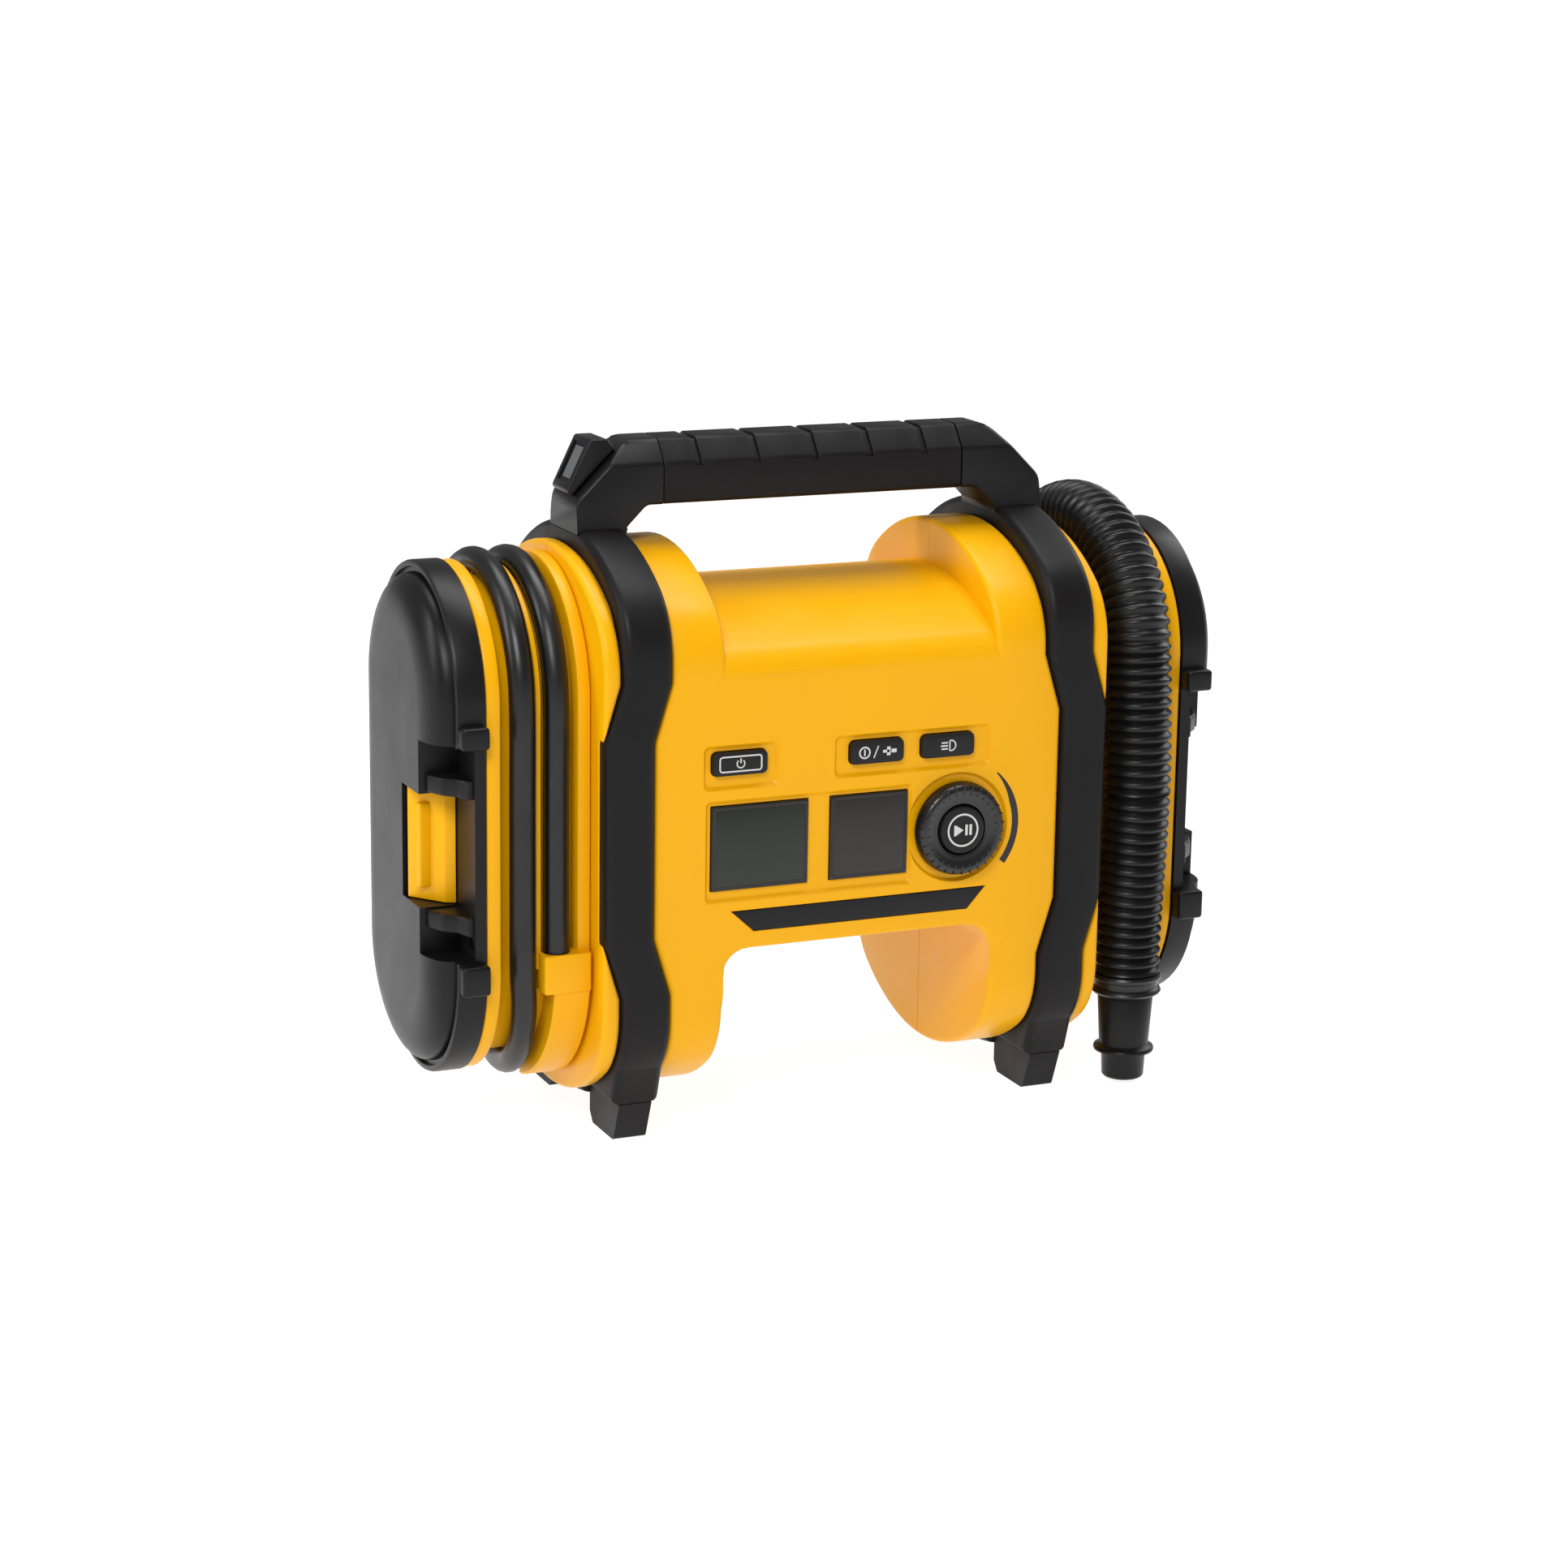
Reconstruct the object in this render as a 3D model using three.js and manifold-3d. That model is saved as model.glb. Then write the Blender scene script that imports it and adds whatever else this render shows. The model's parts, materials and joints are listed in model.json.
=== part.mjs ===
// Battery-powered portable air inflator: a yellow two-part housing between two roll frames,
// a carrying handle, a storage spool with a hinged door at each end, a piston pump for tyres
// and a blower for airbeds.  Millimetres, +X right, +Y back, +Z up, feet on z = 0.
import * as THREE from 'three';
import { mergeVertices } from 'three/addons/utils/BufferGeometryUtils.js';
import Module from 'manifold-3d';

// Driving dimensions
const gap = 0.3; // clearance between neighbouring pieces
const eps = 1; // overrun of a cutter past the face it cuts
const wall = 3; // housing wall
const midZ = 115; // height of the horizontal middle plane

const blockInnerX = 53.5; // inner face of each end block, beside the battery bay
const blockFaceWidth = 20.5; // front face of an end block between the bay and its frame
const frameInnerX = blockInnerX + blockFaceWidth; // at the frame's top and bottom
const frameWidth = 18.6;
const frameKink = 6.4; // how far the middle of a frame steps outwards
const kinkStartZ = 36; // distance of the kink's inner end from the middle plane
const kinkEndZ = 57; // distance of the kink's outer end from the middle plane
const spoolInnerX = frameInnerX + frameWidth + frameKink + 2 * gap; // inner face of a spool
const frameHalfDepth = 62;
const frameTopZ = 220.5;
const frameBottomZ = 8.5;
const frameThickness = 8;
const blockTopZ = frameTopZ - 6.8;
const blockBottomZ = frameBottomZ + 2.5;
const barrelTopZ = 197;
const panelHalfDepth = frameHalfDepth - 2.2; // the end blocks are flush with the panel
const bayCeilingZ = 72;
const bayCornerRadius = 10;

const stadiumTopZ = 163.2; // centre of the upper round end of spools and doors
const stadiumBottomZ = 67.7;
const doorRadius = 46.2;
const flangeRadius = doorRadius - 2 * gap;
const innerFlangeRadius = doorRadius + 0.8;
const innerFlangeThickness = 5;
const outerFlangeThickness = 5.4;
const dividerThickness = 2.6;
const coreWall = 2.6;

const hoseDiameter = 9.3;
const hoseRadiusOnSpool = 45; // centre line of the tyre hose from the stadium centre
const innerWrapX = spoolInnerX + 12.4;
const dividerX = innerWrapX + (hoseDiameter + dividerThickness) / 2 + 0.25; // middle of the divider
const outerWrapX = dividerX + (dividerThickness + hoseDiameter) / 2 + 0.45;
const volumeHoseDiameter = 25.4;
const volumeHoseRadius = 48.8;
const volumeHoseX = spoolInnerX + 18; // midway between the right spool's flanges

const chuckRadius = 6.2;
const outerFlangeInnerX = dividerX + dividerThickness / 2 + 2 * chuckRadius + 0.7; // room for the chuck
const outerFlangeX = outerFlangeInnerX + outerFlangeThickness;
const doorRimX = outerFlangeX + 0.4; // inner face of a door
const doorRimThickness = 10.4;
const doorDomeHeight = 8.1;
const doorWall = 2.4;
const domeInset = 4.5;
const domeSlope = 16;

const handleUnderZ = frameTopZ + 6.5;
const handleTopZ = handleUnderZ + 23.4;
const handleHalfDepth = 14;
const handleCornerX = frameInnerX - 8.4; // where the finger gap's chamfer starts
const shoulder = 20.4; // outer corner chamfer of the handle
const gripHalfLength = handleCornerX - 5.6;
const gripThickness = 2;
const grooveXs = [-46, -23, 0, 22, 44];
const grooveWidth = 2.4;

const footHeight = 15;
const footFrontY = frameHalfDepth - 12;
const footToeY = footFrontY - 6;
const footHeelY = 20;

const dialRadius = 17.5;
const dialPosition = [38.5, 109.9];
const startButtonRadius = 9;
const buttonSize = [21, 8.6];
const buttonZ = 141;
const buttonXs = { power: -48, mode: 5.6, light: 34 };
const windowBoxes = { left: [-58.4, -20.8], right: [-12, 18.7] };
const windowZ = [94.4, 125.4];
const boardFrontY = -panelHalfDepth + 10.3;
const boardThickness = 1.6;

const gearModule = 1.44;
const crankTeeth = 30;
const pinionTeeth = 10;
const crankAxis = [panelHalfDepth - wall - 31.8, 108]; // y, z
const pinionAngle = THREE.MathUtils.degToRad(15); // line of centres above horizontal
const gearX = -27;
const gearFace = 6;
const crankThrow = 6;
const boreRadius = 9;
const motorRadius = 20;
const motorLength = 50;
const blowerAxis = [0, 112]; // y, z
const voluteRadius = panelHalfDepth - 19.8;
const impellerRadius = voluteRadius - 7;

// Materials
const finish = (color, roughness, metalness = 0) =>
  new THREE.MeshStandardMaterial({ color, roughness, metalness });
const yellowPlastic = finish(0xf7b500, 0.4);
const blackPlastic = finish(0x232324, 0.45);
const softBlack = finish(0x332f31, 0.75);
const hoseRubber = finish(0x151515, 0.6);
const windowPlastic = finish(0x3b413a, 0.15);
const displayGlass = finish(0x5c6658, 0.3);
const clearLens = finish(0xe8edf0, 0.1);
const buttonRubber = finish(0x1c1715, 0.6);
const aluminium = finish(0xb4b8bc, 0.35, 1);
const steel = finish(0x8d9196, 0.3, 1);
const brass = finish(0xb48a3c, 0.3, 1);
const boardGreen = finish(0x1d5a36, 0.5);
const nylonWhite = finish(0xdedbd0, 0.5);
const copper = finish(0xb87333, 0.3, 1);

// Solids: geometry in, manifold out, and back to a named mesh
const wasm = await Module();
wasm.setup();

function toSolid(geometry) {
  const bare = geometry.clone();
  bare.deleteAttribute('normal');
  bare.deleteAttribute('uv');
  const merged = mergeVertices(bare, 1e-4);
  const vertProperties = new Float32Array(merged.attributes.position.array);
  const triVerts = new Uint32Array(merged.index.array);
  return new wasm.Manifold(new wasm.Mesh({ numProp: 3, vertProperties, triVerts }));
}

const group = new THREE.Group();

function addPart(name, shape, material, parent = group) {
  let geometry = shape;
  if (!(shape instanceof THREE.BufferGeometry)) {
    const out = shape.getMesh();
    geometry = new THREE.BufferGeometry();
    geometry.setAttribute('position', new THREE.BufferAttribute(new Float32Array(out.vertProperties), 3));
    geometry.setIndex(new THREE.BufferAttribute(new Uint32Array(out.triVerts), 1));
  }
  const mesh = new THREE.Mesh(geometry, material);
  mesh.name = name;
  parent.add(mesh);
  return mesh;
}

const union = (solids) => solids.reduce((whole, solid) => whole.add(solid));

// Outlines.  A corner is [a, b, radius]; a radius of 0 stays sharp.
function roundedShape(corners, steps = 4) {
  const points = [];
  corners.forEach(([a, b, radius], index) => {
    const corner = new THREE.Vector2(a, b);
    if (!radius) {
      points.push(corner);
      return;
    }
    const before = new THREE.Vector2(...corners.at(index - 1));
    const after = new THREE.Vector2(...corners[(index + 1) % corners.length]);
    const back = before.sub(corner).normalize();
    const ahead = after.sub(corner).normalize();
    const half = back.angleTo(ahead) / 2;
    const reach = radius / Math.tan(half);
    const centre = back.clone().add(ahead).normalize().multiplyScalar(radius / Math.sin(half)).add(corner);
    const start = back.multiplyScalar(reach).add(corner).sub(centre);
    const end = ahead.multiplyScalar(reach).add(corner).sub(centre);
    const turn = Math.atan2(start.cross(end), start.dot(end));
    for (let i = 0; i <= steps; i++) {
      const point = start.clone().rotateAround(new THREE.Vector2(), (turn * i) / steps);
      points.push(point.add(centre));
    }
  });
  return new THREE.Shape(points);
}

function stadium(radius, steps = 10) {
  const points = [];
  for (let i = 0; i <= steps; i++) {
    const angle = (Math.PI * i) / steps;
    points.push(new THREE.Vector2(radius * Math.cos(angle), stadiumTopZ + radius * Math.sin(angle)));
  }
  for (let i = 0; i <= steps; i++) {
    const angle = Math.PI + (Math.PI * i) / steps;
    points.push(new THREE.Vector2(radius * Math.cos(angle), stadiumBottomZ + radius * Math.sin(angle)));
  }
  return new THREE.Shape(points);
}

// A barrel outline has a gently arched top and bottom that turn down into straight sides.
function barrelOutline(halfDepth, topZ, bottomZ, archRadius, cornerRadius, steps = 4) {
  const turn = Math.acos((halfDepth - cornerRadius) / (archRadius - cornerRadius));
  const quarter = [];
  for (let i = 0; i <= steps; i++) {
    const angle = Math.PI / 2 - ((Math.PI / 2 - turn) * i) / steps;
    quarter.push([archRadius * Math.cos(angle), archRadius * (Math.sin(angle) - 1)]);
  }
  const centre = [(archRadius - cornerRadius) * Math.cos(turn),
    (archRadius - cornerRadius) * Math.sin(turn) - archRadius];
  for (let i = 1; i <= steps; i++) {
    const angle = turn * (1 - i / steps);
    quarter.push([centre[0] + cornerRadius * Math.cos(angle), centre[1] + cornerRadius * Math.sin(angle)]);
  }
  const back = [...quarter].reverse();
  return new THREE.Shape([
    ...back.map(([y, drop]) => new THREE.Vector2(y, topZ + drop)),
    ...quarter.slice(1).map(([y, drop]) => new THREE.Vector2(-y, topZ + drop)),
    ...back.map(([y, drop]) => new THREE.Vector2(-y, bottomZ - drop)),
    ...quarter.slice(1).map(([y, drop]) => new THREE.Vector2(y, bottomZ - drop)),
  ]);
}

// Extrusions along each axis, from the lower to the upper coordinate
function extrude(shape, depth, bevel) {
  const options = { depth, bevelEnabled: false, steps: 1, curveSegments: 12 };
  if (bevel) {
    const { size, thickness, segments = 1 } = bevel;
    Object.assign(options, {
      depth: depth - 2 * thickness,
      bevelEnabled: true,
      bevelThickness: thickness,
      bevelSize: size,
      bevelOffset: -size,
      bevelSegments: segments,
    });
  }
  const geometry = new THREE.ExtrudeGeometry(shape, options);
  if (bevel) geometry.translate(0, 0, bevel.thickness);
  return geometry;
}

const swapToX = new THREE.Matrix4().set(0, 0, 1, 0, 1, 0, 0, 0, 0, 1, 0, 0, 0, 0, 0, 1);
const swapToY = new THREE.Matrix4().makeRotationX(Math.PI / 2);

function alongX(shape, x0, x1, bevel) {
  return toSolid(extrude(shape, x1 - x0, bevel).applyMatrix4(swapToX).translate(x0, 0, 0));
}

function alongY(shape, y0, y1, bevel) {
  return toSolid(extrude(shape, y1 - y0, bevel).applyMatrix4(swapToY).translate(0, y1, 0));
}

function alongZ(shape, z0, z1, bevel) {
  return toSolid(extrude(shape, z1 - z0, bevel).translate(0, 0, z0));
}

function box(x0, x1, y0, y1, z0, z1) {
  const geometry = new THREE.BoxGeometry(x1 - x0, y1 - y0, z1 - z0);
  return toSolid(geometry.translate((x0 + x1) / 2, (y0 + y1) / 2, (z0 + z1) / 2));
}

// A cylinder along an axis; the centre is given by the two other coordinates in x, y, z order.
function rod(axis, centre, radius, from, to, segments = 24, endRadius = radius) {
  const geometry = new THREE.CylinderGeometry(endRadius, radius, to - from, segments);
  geometry.translate(0, (from + to) / 2, 0);
  if (axis === 'x') geometry.rotateZ(-Math.PI / 2).translate(0, centre[0], centre[1]);
  if (axis === 'y') geometry.translate(centre[0], 0, centre[1]);
  if (axis === 'z') geometry.rotateX(Math.PI / 2).translate(centre[0], centre[1], 0);
  return toSolid(geometry);
}

const far = 180; // reach of a cutter that runs past the whole object
const mirrorX = (solid, side) => (side > 0 ? solid : solid.mirror([1, 0, 0]));

// Housing: two end blocks and a lower barrel between them, hollow, split on the middle plane
// The strip a roll frame covers in front view, with its outward step at mid height
function frameStrip(spread) {
  const inner = frameInnerX - spread;
  const outer = frameInnerX + frameWidth + spread;
  const steps = [
    [far, 0], [kinkEndZ, 0], [kinkStartZ, frameKink], [-kinkStartZ, frameKink], [-kinkEndZ, 0], [-far, 0],
  ];
  const side = (x) => steps.map(([z, shift]) => new THREE.Vector2(x + shift, midZ + z));
  return new THREE.Shape([...side(outer).reverse(), ...side(inner)]);
}

const frameArch = 86;
const blockArch = 80;
const cornerArch = 30;

function outlineInset(halfDepth, topZ, bottomZ, arch, inset, steps) {
  const corner = cornerArch - inset;
  return barrelOutline(halfDepth - inset, topZ - inset, bottomZ + inset, arch - inset, corner, steps);
}

function bayShape(spread) {
  const half = blockInnerX + spread;
  const top = bayCeilingZ + spread;
  const radius = bayCornerRadius + spread;
  return roundedShape([[-half, -eps, 0], [half, -eps, 0], [half, top, radius], [-half, top, radius]]);
}

function bodyForm(inset) {
  const blockOutline = outlineInset(panelHalfDepth, blockTopZ, blockBottomZ, blockArch, inset);
  const grooveFloor = outlineInset(frameHalfDepth, frameTopZ, frameBottomZ, frameArch,
    frameThickness + gap + inset);
  const block = alongX(blockOutline, blockInnerX + inset, spoolInnerX - gap - inset);
  const groove = alongY(frameStrip(gap + inset), -far, far).subtract(alongX(grooveFloor, 0, far));
  const end = block.subtract(groove);
  const barrelShape = barrelOutline(panelHalfDepth - inset, barrelTopZ - inset, 30, 104, 14 - inset);
  const reach = blockInnerX + wall;
  const barrel = alongX(barrelShape, -reach, reach);
  const bay = alongY(bayShape(inset), -far, far);
  return union([end, mirrorX(end, -1), barrel]).subtract(bay);
}

const dialHoleRadius = startButtonRadius + 3;
const startButtonGap = 0.6;
const stripeRecess = 0.8;
const stripeThickness = 0.6;
const stripe = [[-51, 86.6], [-42, 78.3], [43.5, 78.3], [51, 86.6]];
const bossXs = [-blockInnerX - 12.5, blockInnerX + 10.5];
const bossZs = [88, 148];
const bossRadius = 3.4;
const panelInside = -panelHalfDepth + wall;
const throughPanel = [-panelHalfDepth - eps, panelInside + eps];

// Holes in the control panel for the buttons, display windows, dial and stripe
function panelCuts() {
  const cuts = [];
  for (const x of Object.values(buttonXs)) {
    const [width, height] = buttonSize.map((size) => size / 2 + gap);
    cuts.push(box(x - width, x + width, ...throughPanel, buttonZ - height, buttonZ + height));
  }
  for (const [x0, x1] of Object.values(windowBoxes)) {
    cuts.push(box(x0 - gap, x1 + gap, ...throughPanel, windowZ[0] - gap, windowZ[1] + gap));
  }
  cuts.push(rod('y', dialPosition, dialHoleRadius + gap, ...throughPanel, 24));
  const stripeOutline = roundedShape(stripe.map(([x, z]) => [x, z, 0]));
  cuts.push(alongY(stripeOutline, throughPanel[0], -panelHalfDepth + stripeRecess));
  return union(cuts);
}

const screwXs = [-blockInnerX - 9.5, blockInnerX + 9.5];
const screwZs = [38, 185];
const screwHeadRadius = 4;
const screwRadius = 1.8;
const screwPostRadius = 6;
const screwSeatY = panelHalfDepth - 7.8;
const railWidth = 4;
const railHalfGap = 28;
const railHeight = 7;
const railY = [8, 48];
const fittingAxis = [-42, 66]; // y, z of the air fitting through the left end wall
const fittingRadius = 3.2;
// y, z of the blower outlet through the right end wall
const portAxis = [voluteRadius - 18, blowerAxis[1] - 40];
const portRadius = 9.5;

const atEachScrew = (make) => union(screwXs.flatMap((x) => screwZs.map((z) => make(x, z))));
const shell = bodyForm(0).subtract(bodyForm(wall));
const insideWall = bodyForm(wall / 3);
const frontHalf = box(-far, far, -far, -gap / 2, -far, 2 * far);
const rearHalf = box(-far, far, gap / 2, far, -far, 2 * far);

function frontHousing() {
  const boardPosts = union(bossXs.flatMap((x) =>
    bossZs.map((z) => rod('y', [x, z], bossRadius, -panelHalfDepth, boardFrontY - gap, 8))));
  const screwPosts = atEachScrew((x, z) =>
    rod('y', [x, z], screwPostRadius, -panelHalfDepth, -gap / 2, 12));
  return shell.intersect(frontHalf)
    .add(boardPosts.add(screwPosts).intersect(insideWall))
    .subtract(panelCuts())
    .subtract(atEachScrew((x, z) => rod('y', [x, z], screwRadius + gap, -20, 0, 8)))
    .subtract(rod('x', fittingAxis, fittingRadius + gap, -spoolInnerX, -spoolInnerX + 2 * wall));
}

function rearHousing() {
  const rails = union([-1, 1].map((side) => {
    const x = side * railHalfGap;
    const low = bayCeilingZ - railHeight;
    const web = box(x - railWidth / 2, x + railWidth / 2, ...railY, low, bayCeilingZ + 1);
    const lipX = side > 0 ? [x - railWidth, x] : [x, x + railWidth];
    return web.add(box(...lipX, ...railY, low, low + 2.5));
  }));
  const posts = atEachScrew((x, z) => rod('y', [x, z], screwPostRadius, gap / 2, panelHalfDepth, 12));
  return shell.intersect(rearHalf)
    .add(posts.intersect(insideWall))
    .add(rails)
    .subtract(atEachScrew((x, z) => rod('y', [x, z], screwHeadRadius + gap, screwSeatY, frameHalfDepth,
      16)))
    .subtract(atEachScrew((x, z) => rod('y', [x, z], screwRadius + gap, 0, frameHalfDepth, 8)))
    .subtract(rod('x', portAxis, portRadius + gap, spoolInnerX - 2 * wall, spoolInnerX, 16));
}

addPart('front_housing', frontHousing(), yellowPlastic);
addPart('rear_housing', rearHousing(), yellowPlastic);

let screwCount = 0;
for (const x of screwXs) {
  for (const z of screwZs) {
    screwCount += 1;
    const head = rod('y', [x, z], screwHeadRadius, screwSeatY + gap, screwSeatY + 2.6, 16);
    const socket = rod('y', [x, z], 1.6, screwSeatY + 1.4, screwSeatY + 4, 6);
    const shank = rod('y', [x, z], screwRadius, -16, screwSeatY + gap + 0.1, 8);
    addPart(`housing_screw_${screwCount}`, head.add(shank).subtract(socket), steel);
  }
}

const stripeShape = roundedShape([
  [stripe[0][0] + 2 * gap, stripe[0][1] - gap, 0], [stripe[1][0] + gap / 2, stripe[1][1] + gap, 0],
  [stripe[2][0] - gap / 2, stripe[2][1] + gap, 0], [stripe[3][0] - 2 * gap, stripe[3][1] - gap, 0]]);
const stripeBackY = -panelHalfDepth + stripeRecess - gap;
addPart('stripe_label', alongY(stripeShape, stripeBackY - stripeThickness, stripeBackY), blackPlastic);

// Roll frames and their rubber feet
const frameOuter = outlineInset(frameHalfDepth, frameTopZ, frameBottomZ, frameArch, 0);
const frameInner = outlineInset(frameHalfDepth, frameTopZ, frameBottomZ, frameArch, frameThickness);
const footInset = 3;
const toeBlendZ = 36;
const handleSeatZ = frameTopZ - 3;

function footShape(side) {
  const points = [[-footFrontY, footHeight], [-footToeY, 0], [-footHeelY - 3, 0], [-footHeelY, 4],
    [-footHeelY, footHeight]];
  return new THREE.Shape(points.map(([y, z]) => new THREE.Vector2(side * y, z)));
}

function rollFrame() {
  const ring = alongX(frameOuter, 0, far).intersect(alongY(frameStrip(0), -far, far));
  const toes = [-1, 1].map((side) => {
    const points = [[frameHalfDepth - 5, toeBlendZ], [footFrontY, footHeight + gap],
      [footHeelY - 6, footHeight + gap],
      [footHeelY - 6, footHeight + frameThickness], [footFrontY - 5, toeBlendZ]];
    const outline = new THREE.Shape(points.map(([y, z]) => new THREE.Vector2(side * y, z)));
    return alongX(outline, frameInnerX, frameInnerX + frameWidth);
  });
  const padRoom = [-1, 1].map((side) => {
    const ys = [side * (footHeelY - gap), side * far].sort((a, b) => a - b);
    return box(0, far, ...ys, -eps, footHeight + gap);
  });
  const seat = box(0, far, -handleHalfDepth - gap, handleHalfDepth + gap, handleSeatZ, frameTopZ + eps);
  return union([ring, ...toes]).subtract(union([...padRoom, seat, alongX(frameInner, 0, far)]));
}

for (const [sideName, side] of [['left', -1], ['right', 1]]) {
  addPart(`${sideName}_roll_frame`, mirrorX(rollFrame(), side), softBlack);
  for (const [endName, end] of [['front', 1], ['rear', -1]]) {
    const pad = alongX(footShape(end), frameInnerX + footInset, frameInnerX + frameWidth - footInset);
    addPart(`${sideName}_${endName}_foot`, mirrorX(pad, side), softBlack);
  }
}

// Carrying handle with a soft grip sleeve and a lamp on its left shoulder

const barChamfer = [7, 8.4]; // across and down
function barSolid(inset, x0, x1, bottomZ) {
  const half = handleHalfDepth - inset;
  const top = handleTopZ - inset;
  const [across, down] = barChamfer.map((size) => size - inset * 0.4);
  return alongX(roundedShape([[-half, bottomZ, 0], [half, bottomZ, 0], [half, top - down, 0],
    [half - across, top, 0], [-half + across, top, 0], [-half, top - down, 0]]), x0, x1);
}

const legOuterX = frameInnerX + frameWidth;
const legInnerX = frameInnerX - gap;

function handleBar() {
  const foot = handleSeatZ + gap;
  const innerCorner = handleUnderZ - (legInnerX - handleCornerX);
  const half = [[legInnerX, foot, 0], [legOuterX, foot, 0], [legOuterX, handleTopZ - shoulder, 8],
    [legOuterX - shoulder, handleTopZ, 12]];
  const outline = roundedShape([...half, ...half.map(([x, z, r]) => [-x, z, r]).reverse(),
    [-legInnerX, innerCorner, 0], [-handleCornerX, handleUnderZ, 0], [handleCornerX, handleUnderZ, 0],
    [legInnerX, innerCorner, 0]]);
  const bar = alongY(outline, -handleHalfDepth, handleHalfDepth).intersect(barSolid(0, -far, far, midZ));
  const sleeveRoom = box(-gripHalfLength, gripHalfLength, -far, far, midZ, 2 * far)
    .subtract(barSolid(gripThickness + gap, -far, far, handleUnderZ + gripThickness + gap));
  return bar.subtract(sleeveRoom);
}

function handleGrip() {
  const reach = gripHalfLength - gap;
  const sleeve = barSolid(0, -reach, reach, handleUnderZ)
    .subtract(barSolid(gripThickness, -far, far, handleUnderZ + gripThickness));
  const half = grooveWidth / 2;
  const grooves = grooveXs.map((x) =>
    box(x - half, x + half, -far, far, handleTopZ - handleHalfDepth, 2 * far));
  return sleeve.subtract(union(grooves).subtract(barSolid(gripThickness / 2, -far, far, midZ)));
}

addPart('handle_bar', handleBar(), blackPlastic);
addPart('handle_grip', handleGrip(), softBlack);

// The lamp is a wedge on the shoulder, so it faces outwards and only a little upwards.
const lampHalfWidth = 8.5;
const lampTop = [legOuterX - 7, handleTopZ + 0.5];
const lampFoot = [legOuterX + 1.9, handleTopZ - 17.9];
const lampDirection = new THREE.Vector2(lampFoot[0] - lampTop[0], lampFoot[1] - lampTop[1]).normalize();
const lampNormal = new THREE.Vector2(-lampDirection.y, lampDirection.x);

// A slab behind the lamp face: distances run down the face from its top and in from its surface.
function lampSlab(down0, down1, in0, in1, halfWidth) {
  const at = (down, inward) => [lampTop[0] + lampDirection.x * down - lampNormal.x * inward,
    lampTop[1] + lampDirection.y * down - lampNormal.y * inward, 0];
  return alongY(roundedShape([at(down0, in0), at(down0, in1), at(down1, in1), at(down1, in0)]),
    -halfWidth, halfWidth);
}

const shoulderLine = handleTopZ - shoulder + legOuterX + gap * Math.SQRT2; // x + z along the seat
const lampBody = alongY(roundedShape([[...lampTop, 0], [...lampFoot, 0],
  [lampFoot[0] - 2.4, shoulderLine - lampFoot[0] + 2.4, 0],
  [lampTop[0] - 9.6, shoulderLine - lampTop[0] + 9.6, 0], [lampTop[0] - 6.6, lampTop[1], 0]]),
-lampHalfWidth, lampHalfWidth);
addPart('lamp_housing', mirrorX(lampBody.subtract(lampSlab(3, 16, -1, 3.8, 4.5)), -1), blackPlastic);
addPart('lamp_lens', mirrorX(lampSlab(3 + gap, 16 - gap, 0.8, 2.2, 4.5 - gap), -1), clearLens);
addPart('led_board', mirrorX(lampSlab(3 + gap, 16 - gap, 2.5, 3.5, 4.5 - gap), -1), boardGreen);

// Spools with a storage compartment in each core, and the ears that carry the door hinge pins
const hinge = { x: doorRimX + 3.1, y: doorRadius + 4.6, radius: 4, pinRadius: 1.6, halfHeight: 33,
  earHeight: 8 };
const leftCoreRadius = hoseRadiusOnSpool - hoseDiameter / 2 - 0.35;
const rightCoreRadius = volumeHoseRadius - volumeHoseDiameter / 2 - 0.4;
const rightInnerFlange = 3;
const spoolFloor = 3;

function hingeEars() {
  return [-1, 1].map((end) => {
    const zs = [midZ + end * (hinge.halfHeight - hinge.earHeight),
      midZ + end * hinge.halfHeight].sort((a, b) => a - b);
    const arm = box(outerFlangeInnerX, hinge.x - 2, hinge.y - hinge.radius - 8, hinge.y + hinge.radius,
      ...zs)
      .subtract(box(outerFlangeX, far, 0, hinge.y - hinge.radius, 0, 2 * far));
    return arm.add(rod('z', [hinge.x, hinge.y], hinge.radius, ...zs, 20));
  });
}

function spool(coreRadius, innerThickness) {
  const inner = alongX(stadium(innerFlangeRadius), spoolInnerX, spoolInnerX + innerThickness);
  const core = alongX(stadium(coreRadius), spoolInnerX, outerFlangeX);
  const outer = alongX(stadium(flangeRadius), outerFlangeInnerX, outerFlangeX);
  return union([inner, core, outer, ...hingeEars()])
    .subtract(alongX(stadium(coreRadius - coreWall), spoolInnerX + spoolFloor, outerFlangeX + eps))
    .subtract(rod('z', [hinge.x, hinge.y], hinge.pinRadius + gap, 0, 2 * midZ, 12));
}

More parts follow.
